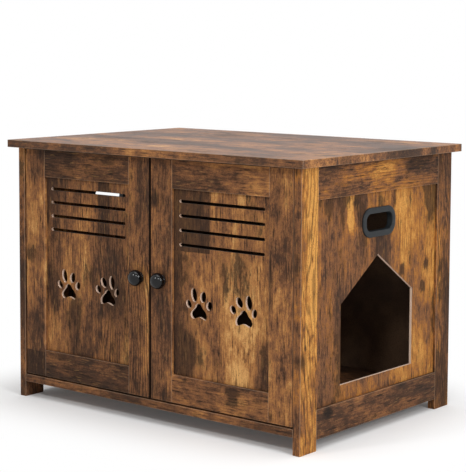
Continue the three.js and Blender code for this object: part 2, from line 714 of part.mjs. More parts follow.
// The outlines of one paw. `mirror` is 1 where the long toe is on the left and -1 where it is on
// the right.
function pawOutlines(x, z, mirror) {
  const twist = THREE.MathUtils.degToRad(PAW_TWIST);
  const toes = PAW_TOES.map((toe) => new THREE.Shape(ellipsePoints(
    x + mirror * toe.x, z + toe.z, toe.width / 2, toe.length / 2,
    mirror * THREE.MathUtils.degToRad(toe.lean) - twist, 0, 2 * Math.PI, TOE_SIDES,
  )));
  const loop = new THREE.CatmullRomCurve3(
    PAW_PAD.map(([px, pz]) => new THREE.Vector3(x + mirror * px, z + pz, 0)), true,
  );
  const pad = loop.getPoints(PAD_SIDES).slice(0, -1);
  return [...toes, new THREE.Shape(pad.map((point) => new THREE.Vector2(point.x, point.y)))];
}

function slotOutlines(panelMiddle, slotLength) {
  return Array.from({ length: SLOT_COUNT }, (_, i) => roundedRectangle(
    panelMiddle, doorRailTopBottom - SLOT_DROP - i * SLOT_PITCH,
    slotLength, SLOT_HEIGHT, SLOT_HEIGHT / 2, SLOT_CORNER_STEPS,
  ));
}

function knob(x) {
  const widest = KNOB_LENGTH - KNOB_DOME_DEPTH;
  const neckAngle = Math.acos(KNOB_NECK_RADIUS / KNOB_RADIUS);
  const back = ellipsePoints(
    0, widest, KNOB_RADIUS, KNOB_BACK_DEPTH, 0, -neckAngle, 0, KNOB_BACK_STEPS,
  );
  const dome = ellipsePoints(
    0, widest, KNOB_RADIUS, KNOB_DOME_DEPTH, 0, 0, Math.PI / 2, KNOB_DOME_STEPS,
  );
  const profile = [
    new THREE.Vector2(0, 0),
    new THREE.Vector2(KNOB_FOOT_RADIUS, 0),
    new THREE.Vector2(KNOB_FOOT_RADIUS, KNOB_FOOT_THICKNESS),
    new THREE.Vector2(KNOB_NECK_RADIUS, KNOB_FOOT_THICKNESS + KNOB_FOOT_TAPER),
    ...back,
    ...dome,
    new THREE.Vector2(0, KNOB_LENGTH),
  ];
  const turned = new THREE.LatheGeometry(profile, KNOB_SIDES);
  turned.rotateX(Math.PI).translate(x, 0, knobHeight);
  const bore = rod(
    'y', [x, knobHeight], KNOB_SCREW_RADIUS + SCREW_CLEARANCE,
    [-KNOB_SCREW_GRIP - SCREW_CLEARANCE, OVERSHOOT],
  );
  return cut(turned, bore);
}

function knobScrew(x) {
  const shank = rod(
    'y', [x, knobHeight], KNOB_SCREW_RADIUS, [-KNOB_SCREW_GRIP, DOOR_THICKNESS + OVERSHOOT],
  );
  const head = rod(
    'y', [x, knobHeight], SCREW_HEAD_RADIUS,
    [DOOR_THICKNESS, DOOR_THICKNESS + SCREW_HEAD_THICKNESS],
  );
  return join(shank, head);
}

// A door's group stands on its hinge axis, at the hinge-side front corner. `across` measures from
// there towards the free edge, whichever way the door faces.
function buildDoor({ side, sign }) {
  const door = new THREE.Group();
  door.position.set(sign * (halfOpening - DOOR_SIDE_GAP), DOOR_SETBACK, 0);
  const across = (from, to) => sorted(-sign * from, -sign * to);
  const thickness = [0, DOOR_THICKNESS];
  const grooveY = grow(doorPanel, PANEL_CLEARANCE);
  const railSpan = [STILE_WIDTH, doorWidth - STILE_WIDTH];

  const stile = (from, innerEdge, inward) => cut(
    block(across(from, from + STILE_WIDTH), thickness, [doorBottom, doorTop]),
    block(
      across(innerEdge + inward * OVERSHOOT, innerEdge - inward * PANEL_GROOVE_DEPTH), grooveY,
      [doorRailBottomTop - PANEL_GROOVE_DEPTH, doorRailTopBottom + PANEL_GROOVE_DEPTH],
    ),
  );
  const hingeStile = cut(stile(0, STILE_WIDTH, 1), ...Object.values(hingeHeights).map((height) => (
    sign < 0 ? cupBore(height) : mirrored(cupBore(height)))));
  const knobX = -sign * knobAcross;
  const meetingStile = cut(
    stile(doorWidth - STILE_WIDTH, doorWidth - STILE_WIDTH, -1),
    rod('y', [knobX, knobHeight], KNOB_SCREW_RADIUS + SCREW_CLEARANCE, grow(thickness, OVERSHOOT)),
  );
  const rail = (height, grooveEdge, towardsPanel) => cut(
    block(across(...railSpan), thickness, height),
    block(
      grow(across(...railSpan), OVERSHOOT), grooveY,
      sorted(grooveEdge + towardsPanel * OVERSHOOT, grooveEdge - towardsPanel * PANEL_GROOVE_DEPTH),
    ),
  );
  addPiece(door, `${side}_door_hinge_stile`, hingeStile, FINISHES.darkBoard);
  addPiece(door, `${side}_door_meeting_stile`, meetingStile, FINISHES.darkBoard);
  addPiece(
    door, `${side}_door_top_rail`,
    rail([doorRailTopBottom, doorTop], doorRailTopBottom, -1), FINISHES.darkBoard,
  );
  addPiece(
    door, `${side}_door_bottom_rail`,
    rail([doorBottom, doorRailBottomTop], doorRailBottomTop, 1), FINISHES.darkBoard,
  );

  const panelMiddle = middle(across(...railSpan));
  const slotLength = railSpan[1] - railSpan[0] - 2 * SLOT_END_MARGIN;
  const pawHeight = doorRailBottomTop + PAW_LIFT;
  const cutOuts = [
    ...slotOutlines(panelMiddle, slotLength),
    ...pawOutlines(panelMiddle - PAW_SPACING / 2, pawHeight, 1),
    ...pawOutlines(panelMiddle + PAW_SPACING / 2, pawHeight, -1),
  ];
  const sheet = block(
    grow(across(...railSpan), panelReach), doorPanel,
    [doorRailBottomTop - panelReach, doorRailTopBottom + panelReach],
  );
  const panel = cut(sheet, ...cutOuts.map((outline) => prism('y', outline, grow(doorPanel, OVERSHOOT))));
  addPiece(door, `${side}_door_panel`, panel, FINISHES.warmBoard);

  addPiece(door, `${side}_door_knob`, knob(knobX), FINISHES.glossBlack);
  addPiece(door, `${side}_door_knob_screw`, knobScrew(knobX), FINISHES.zincSteel);
  const strike = block(
    across(doorWidth - STRIKE_MARGIN - STRIKE_WIDTH, doorWidth - STRIKE_MARGIN),
    [DOOR_THICKNESS, DOOR_THICKNESS + STRIKE_THICKNESS],
    [doorTop - STRIKE_MARGIN - STRIKE_HEIGHT, doorTop - STRIKE_MARGIN],
  );
  addPiece(door, `${side}_door_strike_plate`, strike, FINISHES.zincSteel);
  for (const [level, height] of Object.entries(hingeHeights)) {
    const cup = sign < 0 ? hingeCup(height) : mirrored(hingeCup(height));
    addPiece(door, `${side}_${level}_hinge_cup`, cup, FINISHES.zincSteel);
  }
  return door;
}

// ---------------------------------------------------------------------------------------------
// Assembly
// ---------------------------------------------------------------------------------------------

const cabinet = new THREE.Group();
const assembly = new THREE.Group(); // y = 0 at the legs' front edges
assembly.position.y = -outlineCentre;
assembly.add(buildCarcass(), buildHingeArms(), ...SIDES.map(buildDoor));
cabinet.add(assembly);

export default cabinet;
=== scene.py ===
"""Dresses the cat litter box cabinet and sets the studio that it stands in.

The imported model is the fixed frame. Every board is a worked copy of its solid with broken edges, the
door panels, hand hole bezels and screws are made by Geometry Nodes, and the knobs are turned. Metres,
+Z up, doors towards -Y and the cat opening on the +X side.
"""

import json
import logging
import math
from dataclasses import dataclass, replace
from enum import Enum
from typing import Any, Iterable, Sequence

import bmesh
import bpy
from mathutils import Matrix, Vector

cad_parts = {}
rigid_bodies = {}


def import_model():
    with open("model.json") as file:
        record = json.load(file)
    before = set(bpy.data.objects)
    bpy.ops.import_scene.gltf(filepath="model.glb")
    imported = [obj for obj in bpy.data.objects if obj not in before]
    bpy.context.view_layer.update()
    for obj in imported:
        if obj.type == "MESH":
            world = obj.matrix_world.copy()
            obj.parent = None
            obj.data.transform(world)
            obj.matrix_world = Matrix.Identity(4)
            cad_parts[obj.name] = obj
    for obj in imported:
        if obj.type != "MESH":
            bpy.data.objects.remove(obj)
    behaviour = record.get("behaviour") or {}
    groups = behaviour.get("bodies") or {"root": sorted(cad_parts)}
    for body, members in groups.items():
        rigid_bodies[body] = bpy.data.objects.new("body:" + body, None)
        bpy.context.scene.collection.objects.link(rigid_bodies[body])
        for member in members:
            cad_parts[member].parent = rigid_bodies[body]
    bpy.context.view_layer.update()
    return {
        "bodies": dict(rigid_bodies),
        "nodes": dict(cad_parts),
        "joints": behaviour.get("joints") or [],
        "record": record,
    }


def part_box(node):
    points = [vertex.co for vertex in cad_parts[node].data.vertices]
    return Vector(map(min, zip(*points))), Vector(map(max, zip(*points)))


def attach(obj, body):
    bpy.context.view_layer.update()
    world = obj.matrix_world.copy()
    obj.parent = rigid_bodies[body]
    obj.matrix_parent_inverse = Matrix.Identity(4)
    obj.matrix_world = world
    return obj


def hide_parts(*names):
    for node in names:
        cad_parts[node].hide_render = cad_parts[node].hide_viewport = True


LOG = logging.getLogger("cabinet")

MM = 0.001

# Tolerances in metres, and the folds at which an edge counts as flat, as a corner or as sharp.
WELD = 1e-6
NEAR = 0.02 * MM
FLAT_ANGLE = math.radians(0.4)
CORNER_ANGLE = math.radians(60)
SHARP_ANGLE = math.radians(50)
SOFTENED_ANGLE = math.radians(35)

# The rounded ends of the slots: their steps, and their radius as a share of the slot's height.
SLOT_END_STEPS = 7
SLOT_END_FILL = 0.499
# Where the slots' long walls with painted shade start and end, from the cabinet's middle, and where
# the lowest one is.
SLOT_WALL_ENDS = (72.5 * MM, 270.0 * MM)
LOWEST_SLOT = 345 * MM

# Screw heads: the cross recess as shares of the head's radius and height, seats and seeds.
RECESS_REACH = 1.15
RECESS_LIFT = 0.95
PLATE_THICKNESS = 2 * MM
CATCH_EAR_THICKNESS = 2.5 * MM
PLATE_SCREW_SEED = 11
CATCH_SCREW_SEED = 17
DOOR_SCREW_SEED = 23

# The print: its planks and growth lines in metres, and how much lighter the broken edges are painted,
# partly as rubbed wear and partly as painted highlight.
PLANK_LENGTH = 0.33
PLANK_WIDTH = 0.086
GROWTH_PITCH = 0.0068
WEAR_AND_HIGHLIGHT_LIFT = 0.22
# A side of a patch that has no edge, in millimetres.
OPEN = 1000.0

# How far the floor runs and the camera sees, in metres.
FLOOR_REACH = 30.0
CAMERA_REACH = 100.0

# The two hinges of a door.
LEVELS = ("lower", "upper")

Point = tuple[float, float, float]
Outline = list[tuple[float, float]]
Colour = tuple[float, float, float]
BLACK = (0.0, 0.0, 0.0)
WHITE = (1.0, 1.0, 1.0)


def srgb(code: str) -> Colour:
    """Turns a hash sign and six hexadecimal digits into linear red, green and blue."""
    channels = (int(code[i : i + 2], 16) / 255 for i in (1, 3, 5))
    return tuple(c / 12.92 if c <= 0.04045 else ((c + 0.055) / 1.055) ** 2.4 for c in channels)


def mixed(a: Colour, b: Colour, share: float) -> Colour:
    """Blends two colours, from a at share 0 to b at share 1."""
    return tuple(x + (y - x) * share for x, y in zip(a, b))


def darker(colour: Colour, share: float) -> Colour:
    """A colour with a share of black in it."""
    return mixed(colour, BLACK, share)


class Axis(Enum):
    """A direction of the cabinet's frame."""

    X = 0
    Y = 1
    Z = 2


class Side(Enum):
    """Left or right, as seen from the front."""

    LEFT = -1
    RIGHT = 1

    @property
    def word(self) -> str:
        """The side's word in node names."""
        return self.name.lower()


# -- Node trees ----------------------------------------------


class Value:
    """A number socket on which Python arithmetic adds Math nodes."""

    def __init__(self, graph: "Graph", socket: bpy.types.NodeSocket) -> None:
        """Keeps the socket and the graph that it is in."""
        self.graph = graph
        self.socket = socket

    def math(self, operation: str, *others: Any) -> "Value":
        """Adds one Math node that starts from this value and has others as further inputs."""
        inputs = dict(enumerate((self, *others)))
        return self.graph.add("ShaderNodeMath", {"operation": operation}, inputs)

    def __add__(self, other: Any) -> "Value":
        """This value plus another."""
        return self.math("ADD", other)

    def __sub__(self, other: Any) -> "Value":
        """This value less another."""
        return self.math("SUBTRACT", other)

    def __rsub__(self, other: float) -> "Value":
        """A number less this value."""
        return self.math("MULTIPLY_ADD", -1.0, other)

    def __mul__(self, other: Any) -> "Value":
        """This value times another."""
        return self.math("MULTIPLY", other)

    __radd__ = __add__
    __rmul__ = __mul__

    def between(self, low: float, high: float) -> "Value":
        """Rises smoothly from 0 at low to 1 at high.

        Args:
            low: The value that gives 0, which may be the larger one.
            high: The value that gives 1.

        Returns:
            The smooth step.
        """
        return self.graph.add("ShaderNodeMapRange", {"interpolation_type": "SMOOTHSTEP"}, {
            "Value": self, "From Min": low, "From Max": high,
        })


class Graph:
    """A shader or geometry tree that is written as expressions."""

    def __init__(self, tree: bpy.types.NodeTree) -> None:
        """Starts from an empty tree."""
        tree.nodes.clear()
        self.tree = tree

    def node(self, kind: str, settings: dict[str, Any], inputs: dict[Any, Any]) -> bpy.types.Node:
        """Adds a node of any kind.

        Args:
            kind: The node's type.
            settings: Its properties, set first; "stops" are a colour ramp's.
            inputs: Its sockets, by name or number, as constants, values or other nodes' sockets.

        Returns:
            The new node.
        """
        made = self.tree.nodes.new(kind)
        for name, setting in settings.items():
            if name == "stops":
                self._set_stops(made.color_ramp, setting)
            else:
                setattr(made, name, setting)
        for key, given in inputs.items():
            socket = made.inputs[key]
            if isinstance(given, Value):
                self.tree.links.new(given.socket, socket)
            elif isinstance(given, bpy.types.NodeSocket):
                self.tree.links.new(given, socket)
            elif socket.type == "RGBA" and len(given) == 3:
                socket.default_value = (*given, 1.0)
            else:
                socket.default_value = given
        return made

    def add(
        self, kind: str, settings: dict[str, Any], inputs: dict[Any, Any], output: Any = 0
    ) -> Value:
        """Adds a node and takes one of its outputs, by name or number."""
        return Value(self, self.node(kind, settings, inputs).outputs[output])

    def parts(self, vector: Any) -> list[Value]:
        """The X, Y and Z of a vector.

        Args:
            vector: The vector.

        Returns:
            Its three parts.
        """
        return [Value(self, part) for part in self.node(
            "ShaderNodeSeparateXYZ", {}, {0: vector}
        ).outputs]

    def vector(self, x: Any = 0.0, y: Any = 0.0, z: Any = 0.0) -> Value:
        """A vector from three numbers or values."""
        return self.add("ShaderNodeCombineXYZ", {}, {"X": x, "Y": y, "Z": z})

    def background_rays(self) -> Value:
        """1 for the rays that show the background: the camera's, reflected and passed ones.

        Returns:
            The value.
        """
        path = self.node("ShaderNodeLightPath", {}, {})
        seen = Value(self, path.outputs["Is Camera Ray"])
        for ray in ("Is Glossy Ray", "Is Transmission Ray"):
            seen = seen.math("MAXIMUM", Value(self, path.outputs[ray]))
        return seen

    @staticmethod
    def _set_stops(ramp: bpy.types.ColorRamp, stops: Sequence[tuple[float, Colour]]) -> None:
        """Writes a colour ramp's stops.

        Args:
            ramp: The colour ramp.
            stops: The place and the colour of each stop.
        """
        while len(ramp.elements) < len(stops):
            ramp.elements.new(1.0)
        for element, (place, colour) in zip(ramp.elements, stops):
            element.position = place
            element.color = (*colour, 1.0)


class ShaderGraph(Graph):
    """A material's tree, with the few patterns that the finishes share."""

    def __init__(self, name: str) -> None:
        """Makes an empty material of that name.

        Args:
            name: The material's name.
        """
        self.material = bpy.data.materials.new(name)
        self.material.use_nodes = True
        super().__init__(self.material.node_tree)

    def place(self, offset: Point = (0.0, 0.0, 0.0)) -> Value:
        """Object coordinates, moved by an offset."""
        coordinates = self.add("ShaderNodeTexCoord", {}, {}, "Object")
        return self.add("ShaderNodeMapping", {}, {"Vector": coordinates, "Location": offset})

    def stretched(self, place: Value, scale: Point) -> Value:
        """A place multiplied on each axis."""
        return self.add("ShaderNodeVectorMath", {"operation": "MULTIPLY"}, {0: place, 1: scale})

    def noise(
        self, place: Value, scale: float | Point, detail: float, roughness: float
    ) -> Value:
        """Noise around 0.5.

        Args:
            place: Where it is read.
            scale: Features per metre, the same on every axis or one for each.
            detail: How many finer layers it has.
            roughness: How strong the finer layers are.

        Returns:
            The noise.
        """
        scales = scale if isinstance(scale, tuple) else (scale,) * 3
        return self.add("ShaderNodeTexNoise", {"noise_dimensions": "3D"}, {
            "Vector": self.stretched(place, scales), "Scale": 1.0,
            "Detail": detail, "Roughness": roughness,
        })

    def blend(self, share: Any, a: Any, b: Any) -> Value:
        """Mixes two colours or links: share is how much of b shows."""
        settings = {"data_type": "RGBA", "clamp_factor": True}
        return self.add("ShaderNodeMix", settings, {0: share, 6: a, 7: b}, 2)

    def finish(
        self, colour: Value, roughness: Any, relief: tuple[Value, float],
        more: dict[str, Any] | None = None,
    ) -> bpy.types.Material:
        """Closes the tree with a Principled shader.

        Args:
            colour: The base colour.
            roughness: The roughness.
            relief: The height of the surface and what a height of 1 is in metres.
            more: The shader's other sockets.

        Returns:
            The finished material.
        """
        height, depth = relief
        bump = {"Height": height, "Distance": depth, "Strength": 1.0}
        shader = self.add("ShaderNodeBsdfPrincipled", {}, {
            "Base Color": colour, "Roughness": roughness,
            "Normal": self.add("ShaderNodeBump", {}, bump), **(more or {}),
        })
        return self.close(shader)

    def close(self, surface: Value) -> bpy.types.Material:
        """Puts a shader on the material's surface."""
        self.node("ShaderNodeOutputMaterial", {}, {"Surface": surface})
        return self.material


# -- Finishes ------------------------------------------------

MADE_MATERIALS: dict[Any, bpy.types.Material] = {}


@dataclass(frozen=True)
class Finish:
    """What covers a surface. Each kind draws itself once and is then shared."""

    name: str

    def material(self) -> bpy.types.Material:
        """The finish as a material.

        Returns:
            The material, which all pieces of this finish share.
        """
        if self not in MADE_MATERIALS:
            MADE_MATERIALS[self] = self.draw(ShaderGraph(self.name))
        return MADE_MATERIALS[self]

    def draw(self, graph: ShaderGraph) -> bpy.types.Material:
        """Draws the finish into an empty tree."""
        raise NotImplementedError


@dataclass(frozen=True)
class Patch:
    """A printed plank, smudge or whole face that differs from the rest of its board, or a face painted
    near black as painted shade.

    Its sides are places in the cabinet, in millimetres. A side at OPEN has no edge.
    """

    across: tuple[float, float] = (-OPEN, OPEN)
    along: tuple[float, float] = (-OPEN, OPEN)
    warmth: float = 0.0
    soot: float = 0.0
    figure: float = 0.0
    # How far the patch is blended to near black: painted shade.
    shade: float = 0.0
    soft: tuple[float, float] = (8.0, 24.0)
    ragged: float = 8.0


@dataclass(frozen=True)
class RusticLaminate(Finish):
    """Printed board of reclaimed planks: golden to charcoal brown, with knots, pores and smudges."""

    grain: Axis = Axis.Z
    thin: Axis = Axis.Y
    seed: float = 0.0
    warmth: float = 0.0
    soot: float = 0.0
    figure: float = 0.12
    # How much lighter the broken edges are painted: partly rubbed wear, partly painted highlight.
    lift: float = 0.0
    patches: tuple[Patch, ...] = ()
    charcoal: Colour = srgb("#2c2521")
    umber: Colour = srgb("#52392a")
    chestnut: Colour = srgb("#805639")
    amber: Colour = srgb("#a87343")
    honey: Colour = srgb("#d09d60")
    roughness: float = 0.5
    gloss: float = 0.05

    def draw(self, graph: ShaderGraph) -> bpy.types.Material:
        """Draws planks, patches, growth lines, pores, grit and knots along the grain, with the painted
        highlight of the edges and the painted shade of the patches.

        Args:
            graph: The material's empty tree.

        Returns:
            The finished material.
        """
        across = (set(Axis) - {self.grain, self.thin}).pop()
        real = graph.parts(graph.place())
        sides = (real[across.value], real[self.grain.value])
        moved = graph.parts(graph.place((self.seed * 1.37, self.seed * 2.11, self.seed * 3.73)))
        plank = graph.vector(*(moved[axis.value] for axis in (across, self.thin, self.grain)))
        blots = graph.noise(plank, (34, 20, 15), 4.0, 0.66)
        mottle = graph.noise(plank, (95, 60, 52), 5.0, 0.72)
        streaks = graph.noise(plank, (230, 230, 9), 4.0, 0.66)
        pores = graph.noise(plank, (340, 340, 30), 2.0, 0.6)
        grit = graph.noise(plank, (460, 460, 260), 2.0, 0.6)
        warmth, soot, figure, shade = self._patched(sides, blots)

        clouds = graph.noise(plank, (12, 6, 4.2), 3.0, 0.6)
        tone = clouds * 1.5 + self._plank_tone(graph, plank, blots) * 0.12 + blots * 0.9
        tone = tone + mottle * 0.9 + warmth - 1.24
        fine = (streaks - 0.5) * 0.42 + (pores - 0.5) * 0.45 + (grit - 0.5) * 0.7
        warm = graph.add("ShaderNodeValToRGB", {"stops": (
            (0.06, mixed(self.umber, self.charcoal, 0.6)),
            (0.30, self.umber),
            (0.54, self.chestnut),
            (0.76, self.amber),
            (1.0, self.honey),
        )}, {0: tone + fine}, "Color")
        dark = darker(self.charcoal, 0.45)
        lines = self._growth_lines(graph, plank, streaks)
        colour = graph.blend(lines * figure, warm, dark)

        spots = (blots * 0.55 + mottle * 0.45).between(0.43, 0.33)
        colour = graph.blend(spots * 0.6, colour, mixed(self.charcoal, self.umber, 0.25))
        smoke = graph.noise(plank, (8.5, 5.0, 3.6), 4.0, 0.62) + (blots - 0.5) * 0.6
        sooty = (smoke + (mottle - 0.5) * 0.45 + (streaks - 0.5) * 0.12 + soot).between(0.57, 0.71)
        ash = graph.blend(
            fine.between(-0.3, 0.4), darker(self.charcoal, 0.35),
            mixed(self.charcoal, self.umber, 0.75),
        )
        colour = graph.blend(sooty * 0.85, colour, ash)
        knots = self._knots(graph, plank, blots)
        for marks in (knots * 0.8, pores.between(0.44, 0.28) * 0.8, grit.between(0.56, 0.68) * 0.6):
            colour = graph.blend(marks, colour, dark)
        flecks = graph.noise(plank, (430, 430, 45), 2.0, 0.55).between(0.60, 0.74)
        colour = graph.blend(flecks * 0.22, colour, self.honey)
        # Painted highlight and wear: the broken edges are blended towards a whitened honey.
        if self.lift:
            colour = graph.blend(self.lift, colour, mixed(self.honey, WHITE, 0.25))
        # Painted shade: faces deep in a door gap are blended to near black.
        colour = graph.blend(shade, colour, (0.006, 0.003, 0.002))
        shine = self.roughness + (streaks - 0.5) * 0.16 + sooty * 0.06
        height = pores * 0.6 + streaks * 0.5 - knots * 0.2
        return graph.finish(colour, shine, (height, 0.12 * MM), {"Specular IOR Level": self.gloss})

    def _patched(self, sides: tuple[Value, Value], blots: Value) -> list[Any]:
        """Adds the patches to the board's own tones.

        Args:
            sides: The places across and along the grain, in metres.
            blots: The noise by which the patches' edges wander.

        Returns:
            The warmth, the soot, the strength of the growth lines and the painted shade.
        """
        tones = {"warmth": self.warmth, "soot": self.soot, "figure": self.figure, "shade": 0.0}
        for patch in self.patches:
            mask: Any = 1.0
            wander = (blots - 0.5) * (patch.ragged * 4 * MM)
            reaches = (patch.across, patch.along)
            for side, soft, (low, high) in zip(sides, patch.soft, reaches):
                place = side + wander
                for edge, way in ((low, 1), (high, -1)):
                    if abs(edge) < OPEN:
                        ends = ((edge - way * soft) * MM, (edge + way * soft) * MM)
                        mask = place.between(*ends) * mask
            for tone, own in tones.items():
                change = getattr(patch, tone)
                if change:
                    tones[tone] = mask * change + own
        return list(tones.values())

    @staticmethod
    def _plank_tone(graph: ShaderGraph, plank: Value, blots: Value) -> Value:
        """The tone of each printed plank, with straight seams that hardly wander.

        Args:
            graph: The material's tree.
            plank: The place in the printed wood.
            blots: The noise by which the seams wander.

        Returns:
            A tone from 0 to 1.
        """
        across, _, along = graph.parts(plank)
        wander = (blots - 0.5) * (6 * MM)
        laid = graph.vector(along + wander, across + wander)
        cells = graph.add("ShaderNodeTexBrick", {"offset": 0.37, "squash": 1.0}, {
            "Vector": laid, "Color1": BLACK, "Color2": WHITE, "Scale": 1.0,
            "Mortar Size": 0.0, "Brick Width": PLANK_LENGTH, "Row Height": PLANK_WIDTH,
        }, "Color")
        return graph.add("ShaderNodeSeparateColor", {}, {0: cells}, 0)

    @staticmethod
    def _growth_lines(graph: ShaderGraph, plank: Value, streaks: Value) -> Value:
        """Thin growth lines along the grain that bend round slow waves and break up.

        Args:
            graph: The material's tree.
            plank: The place in the printed wood.
            streaks: The noise that breaks the lines up.

        Returns:
            How dark the lines are.
        """
        waves = graph.noise(plank, (13.0, 6.0, 2.6), 2.0, 0.5)
        ripple = graph.noise(plank, (60.0, 30.0, 22.0), 2.0, 0.5)
        across, through, _ = graph.parts(plank)
        bent = across + through * 0.6 + waves * 0.10 + ripple * 0.006
        line = (bent * (math.tau / GROWTH_PITCH)).math("SINE") * 0.5 + 0.5
        return (line + (streaks - 0.5) * 0.9).between(0.5, 1.0)

    @staticmethod
    def _knots(graph: ShaderGraph, plank: Value, blots: Value) -> Value:
        """Sparse knots, longer along the grain than across it.

        Args:
            graph: The material's tree.
            plank: The place in the printed wood.
            blots: The noise by which the knots' edges wander.

        Returns:
            1 in a knot and 0 outside it.
        """
        near = graph.add("ShaderNodeTexVoronoi", {"voronoi_dimensions": "3D"}, {
            "Vector": graph.stretched(plank, (10.0, 3.0, 6.5)), "Scale": 1.0, "Randomness": 1.0,
        }, "Distance")
        return (near + (blots - 0.5) * 0.14).between(0.15, 0.05)


@dataclass(frozen=True)
class RawFibreboard(Finish):
    """The bare wall of a routed cut-out: pale, with darker crumbs.

    The long walls of a row of slots can be painted darker than their ends and the other cut-outs, as
    painted shade.
    """

    colour: Colour = srgb("#ecccb4")
    slot_ends: tuple[float, float] = (0.0, 0.0)
    lowest_slot: float = 1.0

    def draw(self, graph: ShaderGraph) -> bpy.types.Material:
        """Draws pressed fibre with darker crumbs and painted shade on the slots' long walls.

        Args:
            graph: The material's empty tree.

        Returns:
            The finished material.
        """
        place = graph.place()
        fibre = graph.noise(place, 900, 3.0, 0.6)
        cloud = graph.noise(place, 60, 3.0, 0.6)
        tone = graph.blend(cloud, darker(self.colour, 0.2), self.colour)
        tone = graph.blend(fibre.between(0.62, 0.5), darker(self.colour, 0.4), tone)
        across, _, height = graph.parts(place)
        first, last = self.slot_ends
        # Painted shade: the slots' long walls are blended to near black, and their ends stay pale.
        painted_slot_shade = across.between(first, first + 1 * MM) * across.between(last, last - 1 * MM)
        painted_slot_shade = painted_slot_shade * height.between(self.lowest_slot - 1 * MM, self.lowest_slot)
        tone = graph.blend(painted_slot_shade * 0.93, tone, srgb("#120c08"))
        return graph.finish(tone, 0.82, (fibre, 0.2 * MM))


@dataclass(frozen=True)
class Hardboard(Finish):
    """Thin plain board with a fine pressed weave, for the back."""

    colour: Colour = srgb("#4a3527")

    def draw(self, graph: ShaderGraph) -> bpy.types.Material:
        """Draws mottled brown board with a faint screen pattern.

        Args:
            graph: The material's empty tree.

        Returns:
            The finished material.
        """
        place = graph.place()
        cloud = graph.noise(place, 14, 5.0, 0.6)
        fibre = graph.noise(place, 380, 3.0, 0.6)
        light = mixed(self.colour, srgb("#8a6a4c"), 0.45)
        tone = graph.blend(cloud.between(0.3, 0.7), self.colour, light)
        tone = graph.blend(fibre.between(0.45, 0.7) * 0.5, tone, darker(self.colour, 0.4))
        return graph.finish(tone, 0.68 + (fibre - 0.5) * 0.2, (fibre, 0.15 * MM))


@dataclass(frozen=True)
class MouldedPlastic(Finish):
    """Satin moulded plastic with a fine spark-eroded grain."""

    colour: Colour = srgb("#1d2022")
    roughness: float = 0.42
    gloss: float = 0.22

    def draw(self, graph: ShaderGraph) -> bpy.types.Material:
        """Draws a fine moulded grain and faint handling marks.

        Args:
            graph: The material's empty tree.

        Returns:
            The finished material.
        """
        place = graph.place()
        grain = graph.noise(place, 1500, 2.0, 0.5)
        rub = graph.noise(place, 45, 4.0, 0.6)
        tone = graph.blend(rub.between(0.45, 0.75) * 0.3, self.colour, srgb("#3a3e40"))
        rough = self.roughness + (rub - 0.5) * 0.22
        return graph.finish(tone, rough, (grain, 0.05 * MM), {"Specular IOR Level": self.gloss})


@dataclass(frozen=True)
class GlossLacquer(Finish):
    """Glossy black lacquer with faint orange peel and hairline wear."""

    colour: Colour = srgb("#060607")

    def draw(self, graph: ShaderGraph) -> bpy.types.Material:
        """Draws a deep black coat with slight unevenness.

        Args:
            graph: The material's empty tree.

        Returns:
            The finished material.
        """
        place = graph.place()
        peel = graph.noise(place, 260, 1.0, 0.4)
        wear = graph.noise(place, 90, 5.0, 0.7)
        tone = graph.blend(wear.between(0.6, 0.8) * 0.3, self.colour, srgb("#212527"))
        return graph.finish(tone, 0.2 + wear.between(0.5, 0.85) * 0.12, (peel, 0.02 * MM), {
            "Specular IOR Level": 0.05, "Coat Weight": 0.55, "Coat Roughness": 0.03,
        })


@dataclass(frozen=True)
class ZincSteel(Finish):
    """Zinc-plated pressed steel with a soft spangle and fine scratches."""

    colour: Colour = srgb("#bfc3c7")
    roughness: float = 0.3

    def draw(self, graph: ShaderGraph) -> bpy.types.Material:
        """Draws plated steel with cloudy spangle and rolled scratches.

        Args:
            graph: The material's empty tree.

        Returns:
            The finished material.
        """
        place = graph.place()
        spangle = graph.noise(place, 240, 3.0, 0.55)
        scratch = graph.noise(place, (90, 2400, 900), 2.0, 0.5)
        tone = graph.blend(spangle.between(0.35, 0.7), darker(self.colour, 0.25), self.colour)
        rough = self.roughness + (spangle - 0.5) * 0.2 + (scratch - 0.5) * 0.12
        return graph.finish(tone, rough, (scratch, 0.015 * MM), {"Metallic": 1.0})


@dataclass(frozen=True)
class BareBeech(Finish):
    """Turned beech with short dark flecks, for dowels."""

    colour: Colour = srgb("#c9a272")

    def draw(self, graph: ShaderGraph) -> bpy.types.Material:
        """Draws pale wood with flecks along the dowel.

        Args:
            graph: The material's empty tree.

        Returns:
            The finished material.
        """
        place = graph.place()
        fleck = graph.noise(place, (900, 900, 160), 2.0, 0.5)
        cloud = graph.noise(place, (120, 120, 30), 3.0, 0.6)
        tone = graph.blend(cloud, mixed(self.colour, srgb("#8c6238"), 0.45), self.colour)
        tone = graph.blend(fleck.between(0.6, 0.72) * 0.6, tone, srgb("#7b532f"))
        return graph.finish(tone, 0.6 + (cloud - 0.5) * 0.2, (fleck, 0.08 * MM))


RAW = RawFibreboard("raw_fibreboard")
SATIN = MouldedPlastic("satin_plastic")
CATCH = MouldedPlastic("catch_plastic", colour=srgb("#3a2a20"), roughness=0.5)
LACQUER = GlossLacquer("knob_lacquer")
STEEL = ZincSteel("zinc_steel")
DARK_STEEL = ZincSteel("cam_steel", colour=srgb("#9a9da0"), roughness=0.42)
BEECH = BareBeech("bare_beech")
BACKING = Hardboard("back_hardboard")


# -- Meshes --------------------------------------------------

Frame = dict[str, Any]


